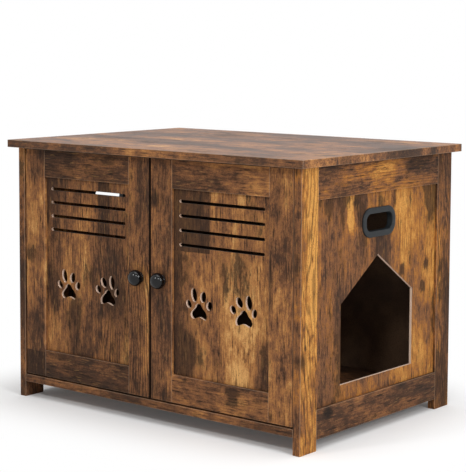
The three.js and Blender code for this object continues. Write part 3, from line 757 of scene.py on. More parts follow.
def shown(name: str, mesh: bpy.types.Mesh, finishes: Sequence[Finish] = ()) -> bpy.types.Object:
    """Puts a mesh in the scene.

    Args:
        name: The piece's name.
        mesh: Its mesh, in the cabinet's frame.
        finishes: The finishes of its material slots, in order.

    Returns:
        The new object.
    """
    mesh.name = name
    for finish in finishes:
        mesh.materials.append(finish.material())
    piece = bpy.data.objects.new(name, mesh)
    bpy.context.scene.collection.objects.link(piece)
    return piece


def settled(piece: bpy.types.Object) -> bpy.types.Object:
    """Turns a piece's modifiers into its plain mesh.

    Args:
        piece: The piece with its modifiers.

    Returns:
        The same piece, with a plain mesh.
    """
    bpy.context.view_layer.update()
    evaluated = piece.evaluated_get(bpy.context.evaluated_depsgraph_get())
    mesh = bpy.data.meshes.new_from_object(evaluated)
    piece.modifiers.clear()
    piece.data = mesh
    mesh.name = piece.name
    return piece


def fitted(
    piece: bpy.types.Object, body: str, nodes: Iterable[str] = ()
) -> bpy.types.Object:
    """Gives a finished piece its body and hides the nodes that it stands for.

    Args:
        piece: The finished piece.
        body: The body that it rides on.
        nodes: The CAD nodes that it replaces.

    Returns:
        The same piece.
    """
    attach(piece, body)
    for node in nodes:
        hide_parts(node)
    LOG.info("%s rides on %s", piece.name, body)
    return piece


def merged_solid(node: str, frame: Frame) -> bmesh.types.BMesh:
    """A CAD node's mesh with its vertices merged and its flat faces joined.

    Args:
        node: The CAD node.
        frame: The loaded frame.

    Returns:
        An editable mesh, which the caller frees.
    """
    mesh = bmesh.new()
    mesh.from_mesh(frame["nodes"][node].data)
    bmesh.ops.remove_doubles(mesh, verts=mesh.verts, dist=WELD)
    bmesh.ops.dissolve_limit(mesh, angle_limit=FLAT_ANGLE, verts=mesh.verts, edges=mesh.edges)
    return mesh


def into_mesh(work: bmesh.types.BMesh, name: str) -> bpy.types.Mesh:
    """Turns an editable mesh into a mesh of that name and frees it.

    Args:
        work: The editable mesh.
        name: The new mesh's name.

    Returns:
        The new mesh.
    """
    made = bpy.data.meshes.new(name)
    work.to_mesh(made)
    work.free()
    return made


def smoothed(work: bmesh.types.BMesh) -> None:
    """Shades a mesh smooth over its curves and keeps its sharp edges sharp.

    Args:
        work: The editable mesh.
    """
    for face in work.faces:
        face.smooth = True
    for edge in work.edges:
        edge.smooth = edge.calc_face_angle(0.0) < SHARP_ANGLE


def box_middle(node: str) -> Vector:
    """The middle of a CAD node's box."""
    low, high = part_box(node)
    return (low + high) / 2


def planes_of(point: Vector, low: Vector, high: Vector) -> set[tuple[int, int]]:
    """The faces of a box that a point lies on, as pairs of axis and end.

    Args:
        point: The point.
        low: The lowest corner of the box.
        high: The highest corner of the box.

    Returns:
        One pair for each face.
    """
    return {
        (axis, end)
        for axis in range(3)
        for end, corner in enumerate((low, high))
        if abs(point[axis] - corner[axis]) < NEAR
    }


@dataclass
class WorkedSolid:
    """A piece that is worked from the merged solid of one node."""

    node: str
    finish: Finish
    slot: str
    body: str = "carcass"

    def set_in_place(self, piece: bpy.types.Object) -> bpy.types.Object:
        """Weights the normals of the finished shape and puts it on its body.

        Args:
            piece: The shape with its modifiers.

        Returns:
            The finished piece.
        """
        normals = piece.modifiers.new("weighted_normals", "WEIGHTED_NORMAL")
        normals.weight = 100
        normals.keep_sharp = True
        return fitted(settled(piece), self.body, (self.node,))


@dataclass
class WorkedBoard(WorkedSolid):
    """A board cut from its solid, with its outer edges broken and its cut-outs left raw."""

    arris: float = 0.7 * MM
    arris_steps: int = 2
    raw_axis: Axis | None = None

    def build(self, frame: Frame) -> bpy.types.Object:
        """Makes the board and puts it on its body.

        Args:
            frame: The loaded frame.

        Returns:
            The finished piece.
        """
        mesh = merged_solid(self.node, frame)
        low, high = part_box(self.node)
        if self.raw_axis is not None:
            self._mark_raw_walls(mesh, low, high)
        edges = []
        for edge in mesh.edges:
            first, last = (planes_of(vert.co, low, high) for vert in edge.verts)
            folded = len(edge.link_faces) == 2 and edge.calc_face_angle(0.0) > CORNER_ANGLE
            if folded and len(first & last) >= 2:
                edges.append(edge)
        bmesh.ops.bevel(
            mesh, geom=edges, offset=self.arris, offset_type="OFFSET", segments=self.arris_steps,
            profile=0.5, affect="EDGES", clamp_overlap=False, material=1,
        )
        smoothed(mesh)
        # The bevels take the second finish: rubbed wear with a painted highlight.
        coats = (self.finish, self._worn(), RAW)
        piece = shown(f"{self.node}_board", into_mesh(mesh, self.node), coats)
        return self.set_in_place(piece)

    def _worn(self) -> Finish:
        """The finish of the broken edges, painted lighter: partly rubbed wear and partly painted
        highlight.

        Returns:
            That finish.
        """
        if isinstance(self.finish, RusticLaminate):
            return replace(self.finish, name=f"{self.finish.name}_edge", lift=WEAR_AND_HIGHLIGHT_LIFT)
        return self.finish

    def _mark_raw_walls(self, mesh: bmesh.types.BMesh, low: Vector, high: Vector) -> None:
        """Gives the walls of openings through the board the raw finish.

        Args:
            mesh: The board's editable mesh.
            low: The lowest corner of the box.
            high: The highest corner of the box.
        """
        axis = self.raw_axis.value
        for face in mesh.faces:
            outer = planes_of(face.calc_center_median(), low, high)
            if abs(face.normal[axis]) < 0.5 and not outer:
                face.material_index = 2


@dataclass
class DressedSolid(WorkedSolid):
    """A fitting whose solid is right: its edges are softened and it gets a better finish."""

    softening: float = 0.25 * MM

    def build(self, frame: Frame) -> bpy.types.Object:
        """Makes the fitting and puts it on its body.

        Args:
            frame: The loaded frame.

        Returns:
            The finished piece.
        """
        mesh = merged_solid(self.node, frame)
        for face in mesh.faces:
            face.smooth = True
        piece = shown(f"{self.node}_fitting", into_mesh(mesh, self.node), (self.finish,))
        bevel = piece.modifiers.new("softened_edges", "BEVEL")
        bevel.width = self.softening
        bevel.segments = 2
        bevel.limit_method = "ANGLE"
        bevel.angle_limit = SOFTENED_ANGLE
        return self.set_in_place(piece)


# -- Geometry Nodes ------------------------------------------


class GeometryGraph(Graph):
    """A Geometry Nodes tree with named inputs."""

    def __init__(self, name: str, **inputs: tuple[str, ...]) -> None:
        """Makes the tree and its interface.

        Args:
            name: The tree's name.
            inputs: The names of its inputs after the geometry, under the kind of their sockets.
        """
        tree = bpy.data.node_groups.new(name, "GeometryNodeTree")
        super().__init__(tree)
        tree.interface.new_socket("Geometry", in_out="INPUT", socket_type="NodeSocketGeometry")
        self.identifiers: dict[str, str] = {}
        for kind, labels in inputs.items():
            for label in labels:
                socket = tree.interface.new_socket(
                    label, in_out="INPUT", socket_type=f"NodeSocket{kind}"
                )
                self.identifiers[label] = socket.identifier
        tree.interface.new_socket("Geometry", in_out="OUTPUT", socket_type="NodeSocketGeometry")
        self.entry = tree.nodes.new("NodeGroupInput")

    def given(self, label: str) -> Value:
        """One of the tree's inputs."""
        return Value(self, self.entry.outputs[label])

    def rectangle(self, width: str, height: str) -> Value:
        """A rectangular curve round the origin, sized by two of the tree's inputs.

        Args:
            width: The input that holds the width.
            height: The input that holds the height.

        Returns:
            The curve.
        """
        return self.add("GeometryNodeCurvePrimitiveQuadrilateral", {}, {
            "Width": self.given(width), "Height": self.given(height),
        })

    def moved(self, geometry: Value, **change: Any) -> Value:
        """A geometry after a Transform node with the given sockets."""
        return self.add("GeometryNodeTransform", {}, {"Geometry": geometry, **change})

    def drawn(self) -> Value:
        """The edges of the mesh that the tree starts from, as curves."""
        return self.add("GeometryNodeMeshToCurve", {}, {"Mesh": self.given("Geometry")})

    def together(self, *parts: Value) -> Value:
        """Joins several geometries.

        Args:
            parts: The geometries, in order.

        Returns:
            All of them as one.
        """
        joint = self.node("GeometryNodeJoinGeometry", {}, {})
        for part in reversed(parts):
            self.tree.links.new(part.socket, joint.inputs[0])
        return Value(self, joint.outputs[0])

    def close(self, geometry: Value, *coats: tuple[bpy.types.Material, Value | None]) -> None:
        """Ends the tree in Realize Instances and Set Material.

        Args:
            geometry: What the tree has made.
            coats: Materials in order, each with the faces that it covers, or None for all.
        """
        result = self.add("GeometryNodeRealizeInstances", {}, {0: geometry})
        for material, faces in coats:
            inputs = {"Geometry": result, "Material": material}
            if faces is not None:
                inputs["Selection"] = faces
            result = self.add("GeometryNodeSetMaterial", {}, inputs)
        self.node("NodeGroupOutput", {}, {0: result})

    def run(
        self, name: str, base: bpy.types.Mesh, settings: dict[str, Any]
    ) -> bpy.types.Object:
        """Runs the tree on a mesh and keeps the plain result.

        Args:
            name: The new piece's name.
            base: The mesh that the tree starts from.
            settings: The value of each named input.

        Returns:
            The piece, with a plain mesh and no modifier.
        """
        piece = shown(name, base)
        modifier = piece.modifiers.new(self.tree.name, "NODES")
        modifier.node_group = self.tree
        for label, setting in settings.items():
            modifier[self.identifiers[label]] = setting
        return settled(piece)


def loops_mesh(name: str, loops: Iterable[Sequence[Point]]) -> bpy.types.Mesh:
    """A mesh of closed loops of edges.

    Args:
        name: The mesh's name.
        loops: The points of each loop, in order.

    Returns:
        The mesh, which has no faces.
    """
    points: list[Point] = []
    edges: list[tuple[int, int]] = []
    for loop in loops:
        start = len(points)
        points.extend(loop)
        edges.extend((start + i, start + (i + 1) % len(loop)) for i in range(len(loop)))
    mesh = bpy.data.meshes.new(name)
    mesh.from_pydata(points, edges, [])
    return mesh


def points_mesh(name: str, points: Sequence[Point]) -> bpy.types.Mesh:
    """A mesh of loose points.

    Args:
        name: The mesh's name.
        points: Where its points are.

    Returns:
        The mesh.
    """
    mesh = bpy.data.meshes.new(name)
    mesh.from_pydata([tuple(point) for point in points], [], [])
    return mesh


def pierced_panel_tree(face: Finish, wall: Finish) -> GeometryGraph:
    """The tree of a thin panel that is pierced by a row of slots and by drawn outlines.

    Args:
        face: The finish of its two faces.
        wall: The finish of its edges and of the walls of its cut-outs.

    Returns:
        The tree. It starts from the drawn outlines, as loops of edges in the XY plane round the
        panel's middle, and stands the panel up in the XZ plane.
    """
    graph = GeometryGraph(
        "pierced_panel", Int=("Slot Count",), Vector=("Centre",),
        Float=(
            "Panel Width", "Panel Height", "Thickness",
            "Slot Length", "Slot Height", "Slot Pitch", "First Slot",
        ),
    )
    sheet = graph.rectangle("Panel Width", "Panel Height")
    rounded = graph.add("GeometryNodeFilletCurve", {"mode": "POLY"}, {
        "Curve": graph.rectangle("Slot Length", "Slot Height"), "Count": SLOT_END_STEPS,
        "Radius": graph.given("Slot Height") * SLOT_END_FILL, "Limit Radius": True,
    })
    row = graph.add("GeometryNodeMeshLine", {"mode": "OFFSET"}, {
        "Count": graph.given("Slot Count"),
        "Start Location": graph.vector(y=graph.given("First Slot")),
        "Offset": graph.vector(y=graph.given("Slot Pitch") * -1.0),
    })
    slots = graph.add("GeometryNodeInstanceOnPoints", {}, {"Points": row, "Instance": rounded})
    slots = graph.add("GeometryNodeRealizeInstances", {}, {0: slots})
    outlines = graph.together(sheet, slots, graph.drawn())
    flat = graph.add("GeometryNodeFillCurve", {}, {"Curve": outlines})
    thick = graph.node("GeometryNodeExtrudeMesh", {"mode": "FACES"}, {
        "Mesh": flat, "Offset": graph.vector(z=1.0),
        "Offset Scale": graph.given("Thickness"), "Individual": False,
    })
    under = graph.add("GeometryNodeFlipFaces", {}, {"Mesh": flat})
    body = graph.add("GeometryNodeMergeByDistance", {}, {
        "Geometry": graph.together(Value(graph, thick.outputs["Mesh"]), under), "Distance": WELD,
    })
    stood = graph.moved(
        body, Rotation=(math.radians(90), 0.0, 0.0), Translation=graph.given("Centre")
    )
    flat_shaded = graph.add("GeometryNodeSetShadeSmooth", {}, {
        "Geometry": stood, "Shade Smooth": False,
    })
    graph.close(
        flat_shaded, (face.material(), None),
        (wall.material(), Value(graph, thick.outputs["Side"])),
    )
    return graph


def screw_tree(finish: Finish) -> GeometryGraph:
    """The tree of screw heads with a cross recess, one on each point and each at its own turn.

    Args:
        finish: The screws' finish.

    Returns:
        The tree. It starts from loose points on the surface that the screws are driven into.
    """
    graph = GeometryGraph(
        "screw_heads", Int=("Seed",), Vector=("Axis",),
        Float=("Head Radius", "Head Height", "Recess Width"),
    )
    radius, height = graph.given("Head Radius"), graph.given("Head Height")
    dome = graph.add("GeometryNodeMeshUVSphere", {}, {"Segments": 20, "Rings": 10, "Radius": radius})
    dome = graph.moved(dome, Scale=graph.vector(1.0, 1.0, height.math("DIVIDE", radius)))
    width, reach = graph.given("Recess Width"), radius * RECESS_REACH
    bars = [
        graph.add("GeometryNodeMeshCube", {}, {"Size": graph.vector(*size, height)})
        for size in ((reach, width), (width, reach))
    ]
    cross = graph.moved(graph.together(*bars), Translation=graph.vector(z=height * RECESS_LIFT))
    head = graph.node("GeometryNodeMeshBoolean", {"operation": "DIFFERENCE"}, {"Mesh 1": dome})
    graph.tree.links.new(cross.socket, head.inputs["Mesh 2"])
    turn = graph.add("FunctionNodeRandomValue", {"data_type": "FLOAT"}, {
        "Max": math.pi, "Seed": graph.given("Seed"),
    }, 1)
    facing = graph.add("FunctionNodeAlignRotationToVector", {"axis": "Z"}, {
        "Vector": graph.given("Axis"),
    })
    spun = graph.add("FunctionNodeRotateRotation", {"rotation_space": "LOCAL"}, {
        "Rotation": facing,
        "Rotate By": graph.add("FunctionNodeAxisAngleToRotation", {}, {
            "Axis": (0.0, 0.0, 1.0), "Angle": turn,
        }),
    })
    heads = graph.add("GeometryNodeInstanceOnPoints", {}, {
        "Points": graph.given("Geometry"), "Instance": Value(graph, head.outputs["Mesh"]),
        "Rotation": spun,
    })
    graph.close(heads, (finish.material(), None))
    return graph


def frame_moulding_tree(finish: Finish) -> GeometryGraph:
    """The tree of a moulding that runs once round a rounded rectangle.

    Args:
        finish: The moulding's finish.

    Returns:
        The tree. It starts from the moulding's section as a loop of edges, X outwards from the hole
        and Y along its axis, and the moulding lies in the XY plane.
    """
    graph = GeometryGraph(
        "frame_moulding", Int=("Corner Steps",), Float=("Hole Width", "Hole Height", "Corner")
    )
    path = graph.add("GeometryNodeFilletCurve", {"mode": "POLY"}, {
        "Curve": graph.rectangle("Hole Width", "Hole Height"),
        "Radius": graph.given("Corner"), "Count": graph.given("Corner Steps"),
    })
    section = graph.moved(graph.drawn(), Scale=(1, -1, 1))
    level = graph.add("GeometryNodeSetCurveNormal", {"mode": "Z_UP"}, {"Curve": path})
    swept = graph.add("GeometryNodeCurveToMesh", {}, {"Curve": level, "Profile Curve": section})
    graph.close(swept, (finish.material(), None))
    return graph


# -- Carcass -------------------------------------------------


def turned_onto_side(side: Side, outward: float, middle: tuple[float, float]) -> Matrix:
    """The place of a drawing in the XY plane on a side of the cabinet.

    Args:
        side: The side that it faces.
        outward: How far out its plane is.
        middle: Its middle along the cabinet's depth and height.

    Returns:
        A matrix that turns the drawing's Z outwards and its Y up.
    """
    sign = side.value
    return Matrix((
        (0.0, 0.0, sign, sign * outward),
        (sign, 0.0, 0.0, middle[0]),
        (0.0, 1.0, 0.0, middle[1]),
        (0.0, 0.0, 0.0, 1.0),
    ))


def quarter_turn(
    centre: tuple[float, float], radius: float, start: float, steps: int
) -> list[Point]:
    """The points of a quarter circle, counterclockwise.

    Args:
        centre: Its centre.
        radius: Its radius.
        start: The angle that it starts at, in degrees.
        steps: How many parts it has.

    Returns:
        The points, first and last included.
    """
    angles = [math.radians(start + 90.0 * i / steps) for i in range(steps + 1)]
    return [
        (centre[0] + radius * math.cos(a), centre[1] + radius * math.sin(a), 0.0) for a in angles
    ]


@dataclass
class HandHole:
    """The plastic bezel of a hand hole and the ring that holds it from inside."""

    side: Side
    width: float = 86 * MM
    height: float = 33 * MM
    corner: float = 14 * MM
    rim: float = 11.5 * MM
    rim_thickness: float = 3.2 * MM
    rounding: float = 1.4 * MM
    sleeve_wall: float = 2.5 * MM
    sleeve_tail: float = 4 * MM
    ring_rim: float = 9 * MM
    ring_thickness: float = 2.5 * MM
    ring_rounding: float = 0.7 * MM
    clearance: float = 0.3 * MM
    corner_steps: int = 12
    rounding_steps: int = 4
    ring_steps: int = 3

    def build(self, tree: GeometryGraph) -> list[bpy.types.Object]:
        """Makes the bezel and its ring.

        Args:
            tree: The moulding's tree.

        Returns:
            The two pieces.
        """
        panel_low, panel_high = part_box(f"{self.side.word}_side_panel")
        outer = max(abs(panel_low.x), abs(panel_high.x))
        thickness = panel_high.x - panel_low.x
        node = f"{self.side.word}_hand_hole_bezel"
        ring = f"{self.side.word}_hand_hole_ring"
        middle = tuple(box_middle(node).yz)
        fit = self.sleeve_wall + self.clearance
        return [
            self._moulding(tree, node, self._bezel_section(thickness), 0.0, outer, middle),
            self._moulding(tree, ring, self._ring_section(), fit, outer - thickness, middle),
        ]

    def _moulding(
        self, tree: GeometryGraph, node: str, section: list[Point], margin: float,
        outward: float, middle: tuple[float, float],
    ) -> bpy.types.Object:
        """Runs a section round the hole and sets it on the panel.

        Args:
            tree: The moulding's tree.
            node: The node that it replaces.
            section: The section's outline.
            margin: How far outside the hole the section starts.
            outward: Where the section's own zero lies.
            middle: The hole's middle.

        Returns:
            The finished piece.
        """
        base = loops_mesh(f"{node}_section", [section])
        piece = tree.run(f"{node}_moulding", base, {
            "Hole Width": self.width + 2 * margin, "Hole Height": self.height + 2 * margin,
            "Corner": self.corner + margin, "Corner Steps": self.corner_steps,
        })
        piece.data.transform(turned_onto_side(self.side, outward, middle))
        closed_outwards(piece.data)
        return fitted(piece, "carcass", (node,))

    def _bezel_section(self, panel_thickness: float) -> list[Point]:
        """The bezel's section: its sleeve through the panel and its rounded rim.

        Args:
            panel_thickness: The side panel's thickness.

        Returns:
            The section's outline.
        """
        r, top, inner = self.rounding, self.rim_thickness, -(panel_thickness + self.sleeve_tail)
        outer = quarter_turn((self.rim - r, top - r), r, 0, self.rounding_steps)
        lip = quarter_turn((r, top - r), r, 90, self.rounding_steps)
        return [
            (0.0, inner, 0.0), (self.sleeve_wall, inner, 0.0), (self.sleeve_wall, 0.0, 0.0),
            (self.rim, 0.0, 0.0), *outer, *lip,
        ]

    def _ring_section(self) -> list[Point]:
        """The ring's section: a flat strip with two rounded corners.

        Returns:
            The section's outline.
        """
        width = self.ring_rim - self.sleeve_wall - self.clearance
        r, depth = self.ring_rounding, -self.ring_thickness
        return [
            (0.0, 0.0, 0.0), *quarter_turn((r, depth + r), r, 180, self.ring_steps),
            *quarter_turn((width - r, depth + r), r, 270, self.ring_steps), (width, 0.0, 0.0),
        ]


def closed_outwards(mesh: bpy.types.Mesh) -> None:
    """Merges a closed shell's doubles, turns its faces outwards and smooths its curves.

    Args:
        mesh: The shell, which is changed.
    """
    work = bmesh.new()
    work.from_mesh(mesh)
    bmesh.ops.remove_doubles(work, verts=work.verts, dist=WELD)
    bmesh.ops.recalc_face_normals(work, faces=work.faces)
    smoothed(work)
    work.to_mesh(mesh)
    work.free()


def pair(x: float, y: float, z: float, spread: Vector) -> list[Point]:
    """Two places round a middle, a spread apart."""
    middle = Vector((x, y, z))
    return [tuple(middle + spread * share) for share in (-0.5, 0.5)]


@dataclass
class Screws:
    """The visible heads of a group of screws, all facing one way."""

    name: str
    body: str
    facing: Point
    seed: int
    radius: float = 2.6 * MM
    height: float = 0.9 * MM
    recess: float = 0.55 * MM

    def build(self, places: Sequence[Point], tree: GeometryGraph) -> bpy.types.Object:
        """Sets the heads on their places.

        Args:
            places: The middle of each head's seat.
            tree: The screws' tree.

        Returns:
            The finished piece.
        """
        piece = tree.run(self.name, points_mesh(self.name, places), {
            "Head Radius": self.radius, "Head Height": self.height,
            "Recess Width": self.recess, "Axis": self.facing, "Seed": self.seed,
        })
        return fitted(piece, self.body)


@dataclass
class Carcass:
    """The boards that stand still, with the fittings that hold them."""

    prints: dict[str, RusticLaminate]
    plate_screw_spread: float = 36 * MM
    catch_screw_spread: float = 57 * MM

    def build(
        self, frame: Frame, moulding: GeometryGraph, screws: GeometryGraph
    ) -> list[bpy.types.Object]:
        """Makes every piece of the carcass.

        Args:
            frame: The loaded frame.
            moulding: The tree of the hand hole bezels.
            screws: The tree of the screw heads.

        Returns:
            The finished pieces.
        """
        pieces = [self._board(node).build(frame) for node in self._board_nodes()]
        back = WorkedBoard("back_panel", BACKING, "board_back", arris=0.3 * MM)
        pieces.append(back.build(frame))
        for side in Side:
            pieces += HandHole(side).build(moulding)
        pieces += [solid.build(frame) for solid in self._fittings()]
        return pieces + self._screw_heads(screws)

    @staticmethod
    def _board_nodes() -> list[str]:
        """The nodes of the printed boards, from the top down.

        Returns:
            The nodes' names.
        """
        corners = [f"{end}_{side.word}_leg" for end in ("front", "rear") for side in Side]
        rails = [f"{side.word}_{level}_rail" for level in ("upper", "lower") for side in Side]
        panels = [f"{side.word}_side_panel" for side in Side]
        return ["top_board", *corners, *rails, *panels, "bottom_board"]

    def _board(self, node: str) -> WorkedBoard:
        """The board of one node.

        Args:
            node: The board's node.

        Returns:
            The board, still to be built.
        """
        cover = self.prints[node]
        if node.endswith("side_panel"):
            return WorkedBoard(node, cover, "board_warm", arris=0.3 * MM, raw_axis=Axis.X)
        return WorkedBoard(node, cover, "board_top" if node == "top_board" else "board_dark")

    @staticmethod
    def _fittings() -> list[DressedSolid]:
        """The fittings that keep their solids' shapes.

        Returns:
            The fittings, still to be built.
        """
        fittings = [DressedSolid("magnetic_catch", CATCH, "catch_plastic", softening=0.5 * MM)]
        corner_kinds = (
            ("cam_lock", DARK_STEEL, "steel_zinc"),
            ("cam_bolt", STEEL, "steel_zinc"),
            ("top_dowel", BEECH, "dowel_beech"),
        )
        for side in Side:
            fittings += [
                DressedSolid(f"{end}_{side.word}_{kind}", finish, slot)
                for end in ("front", "rear") for kind, finish, slot in corner_kinds
            ]
            fittings += [
                DressedSolid(f"{side.word}_{level}_hinge_{kind}", STEEL, "steel_zinc")
                for level in LEVELS for kind in ("arm", "plate")
            ]
        return fittings

    def _screw_heads(self, tree: GeometryGraph) -> list[bpy.types.Object]:
        """The heads of the hinge plates' and of the catch's screws.

        Args:
            tree: The screws' tree.

        Returns:
            The finished pieces.
        """
        pieces = []
        for number, side in enumerate(Side):
            places = []
            for level in LEVELS:
                node = f"{side.word}_{level}_hinge_plate"
                _, y, z = box_middle(node)
                reach = max(abs(corner.x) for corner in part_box(node)) - PLATE_THICKNESS
                places += pair(side.value * reach, y, z, Vector((0, 0, self.plate_screw_spread)))
            name, facing = f"{side.word}_plate_screws", (-float(side.value), 0.0, 0.0)
            screws = Screws(name, "carcass", facing, PLATE_SCREW_SEED + number)
            pieces.append(screws.build(places, tree))
        catch = "magnetic_catch"
        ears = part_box(catch)[1].z - CATCH_EAR_THICKNESS
        places = pair(0.0, box_middle(catch).y, ears, Vector((self.catch_screw_spread, 0, 0)))
        screws = Screws("catch_screws", "carcass", (0.0, 0.0, -1.0), CATCH_SCREW_SEED)
        return [*pieces, screws.build(places, tree)]


# -- Doors ---------------------------------------------------


@dataclass(frozen=True)
class Paw:
    """A paw-shaped cut-out: one pad and four toes, as outlines round the pad's middle."""

    mirror: int
    twist: float = 9.0
    toes: tuple[tuple[float, float, float, float, float], ...] = (
        (-24.8, 13.5, 17.0, 12.0, -24.0),
        (-11.8, 32.0, 27.0, 14.2, -3.0),
        (10.2, 30.1, 21.0, 14.6, 20.0),
        (25.0, 15.2, 17.0, 13.6, 25.0),
    )
    pad: tuple[tuple[float, float], ...] = (
        (-1.2, 17.0), (-7.4, 14.0), (-10.6, 8.0), (-17.2, 1.5), (-20.6, -5.5), (-15.5, -12.8),
        (1.0, -8.8), (17.0, -12.6), (19.2, -4.5), (14.8, 3.8), (9.2, 8.4), (5.8, 13.6),
    )
    toe_sides: int = 40
    pad_steps: int = 6

    def outlines(self, centre: tuple[float, float]) -> list[list[Point]]:
        """The paw's five outlines.

        Args:
            centre: The middle of the pad.

        Returns:
            A loop of points for each outline.
        """
        loops = [self._toe(*toe) for toe in self.toes] + [self._pad()]
        return [
            [((x * MM) + centre[0], (y * MM) + centre[1], 0.0) for x, y in loop] for loop in loops
        ]

    def _toe(self, x: float, y: float, length: float, width: float, lean: float) -> Outline:
        """An ellipse that leans by some degrees to the right.

        Args:
            x: How far its middle lies to the right of the pad's, in millimetres.
            y: How far its middle lies above the pad's.
            length: Its length.
            width: Its width.
            lean: How far it leans, in degrees.

        Returns:
            The points of its outline.
        """
        turn = math.radians(self.mirror * lean - self.twist)
        loop = []
        for i in range(self.toe_sides):
            angle = math.tau * i / self.toe_sides
            across, along = width / 2 * math.cos(angle), length / 2 * math.sin(angle)
            loop.append((
                self.mirror * x + across * math.cos(turn) + along * math.sin(turn),
                y - across * math.sin(turn) + along * math.cos(turn),
            ))
        return loop

    def _pad(self) -> Outline:
        """A smooth closed curve through the pad's points.

        Returns:
            The points of its outline.
        """
        points = [Vector((self.mirror * x, y)) for x, y in self.pad]
        count = len(points)
        loop = []
        for i in range(count):
            p0, p1, p2, p3 = (points[(i + k) % count] for k in range(-1, 3))
            loop += [
                centripetal(p0, p1, p2, p3, step / self.pad_steps)
                for step in range(self.pad_steps)
            ]
        return [(point.x, point.y) for point in loop]


def centripetal(p0: Vector, p1: Vector, p2: Vector, p3: Vector, share: float) -> Vector:
    """A point on the centripetal spline from p1 to p2.

    Args:
        p0: The point before.
        p1: Where the stretch starts.
        p2: Where it ends.
        p3: The point after.
        share: How far along the stretch the point lies.

    Returns:
        The point.
    """
    t0 = 0.0
    t1 = t0 + math.sqrt((p1 - p0).length)
    t2 = t1 + math.sqrt((p2 - p1).length)
    t3 = t2 + math.sqrt((p3 - p2).length)
    t = t1 + (t2 - t1) * share
    a1 = p0 * ((t1 - t) / (t1 - t0)) + p1 * ((t - t0) / (t1 - t0))
    a2 = p1 * ((t2 - t) / (t2 - t1)) + p2 * ((t - t1) / (t2 - t1))
    a3 = p2 * ((t3 - t) / (t3 - t2)) + p3 * ((t - t2) / (t3 - t2))
    b1 = a1 * ((t2 - t) / (t2 - t0)) + a2 * ((t - t0) / (t2 - t0))
    b2 = a2 * ((t3 - t) / (t3 - t1)) + a3 * ((t - t1) / (t3 - t1))
    return b1 * ((t2 - t) / (t2 - t1)) + b2 * ((t - t1) / (t2 - t1))


@dataclass
class Knob:
    """A turned ball knob that narrows to a short foot."""

    node: str
    body: str
    head_radius: float = 15.9 * MM
    dome: float = 14 * MM
    back: float = 9 * MM
    length: float = 24 * MM
    foot_radius: float = 12 * MM
    foot: float = 1.5 * MM
    foot_ease: float = 0.5 * MM
    foot_ease_height: float = 0.4 * MM
    taper: float = 1.5 * MM
    neck_radius: float = 11 * MM
    sides: int = 64
    dome_steps: int = 20
    back_steps: int = 12
    neck_steps: int = 6

    def build(self) -> bpy.types.Object:
        """Turns the knob round its axis, out from the door.

        Returns:
            The finished piece.
        """
        centre, door_face = box_middle(self.node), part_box(self.node)[1].y
        turns = [math.tau * i / self.sides for i in range(self.sides)]
        mesh = bmesh.new()
        rows = [
            [
                mesh.verts.new((
                    centre.x + radius * math.cos(turn), door_face - reach,
                    centre.z + radius * math.sin(turn),
                ))
                for turn in turns
            ]
            for radius, reach in self._profile()
        ]
        crown = mesh.verts.new((centre.x, door_face - self.length, centre.z))
        mesh.faces.new(rows[0])
        for i in range(self.sides):
            after = (i + 1) % self.sides
            for near, far in zip(rows, rows[1:]):
                mesh.faces.new((near[i], near[after], far[after], far[i]))
            mesh.faces.new((rows[-1][i], rows[-1][after], crown))
        made = into_mesh(mesh, self.node)
        closed_outwards(made)
        piece = shown(f"{self.node}_turning", made, (LACQUER,))
        return fitted(piece, self.body, (self.node,))

    def _profile(self) -> Outline:
        """The radius and the reach from the door of each ring but the crown.

        Returns:
            The rings, from the door outwards.
        """
        middle = self.length - self.dome
        profile = [
            (self.foot_radius - self.foot_ease, 0.0), (self.foot_radius, self.foot_ease_height),
            (self.foot_radius, self.foot),
        ]
        for i in range(1, self.neck_steps + 1):
            turn = math.pi / 2 * i / self.neck_steps
            profile.append((
                self.foot_radius + (self.neck_radius - self.foot_radius) * math.sin(turn),
                self.foot + self.taper * (1 - math.cos(turn)),
            ))
        start = math.acos(self.neck_radius / self.head_radius)
        back = (-start, 0.0, self.back, self.back_steps)
        dome = (0.0, math.pi / 2, self.dome, self.dome_steps)
        for first, last, depth, steps in (back, dome):
            for i in range(steps):
                angle = first + (last - first) * i / steps
                profile.append((
                    self.head_radius * math.cos(angle), middle + depth * math.sin(angle)
                ))
        return profile


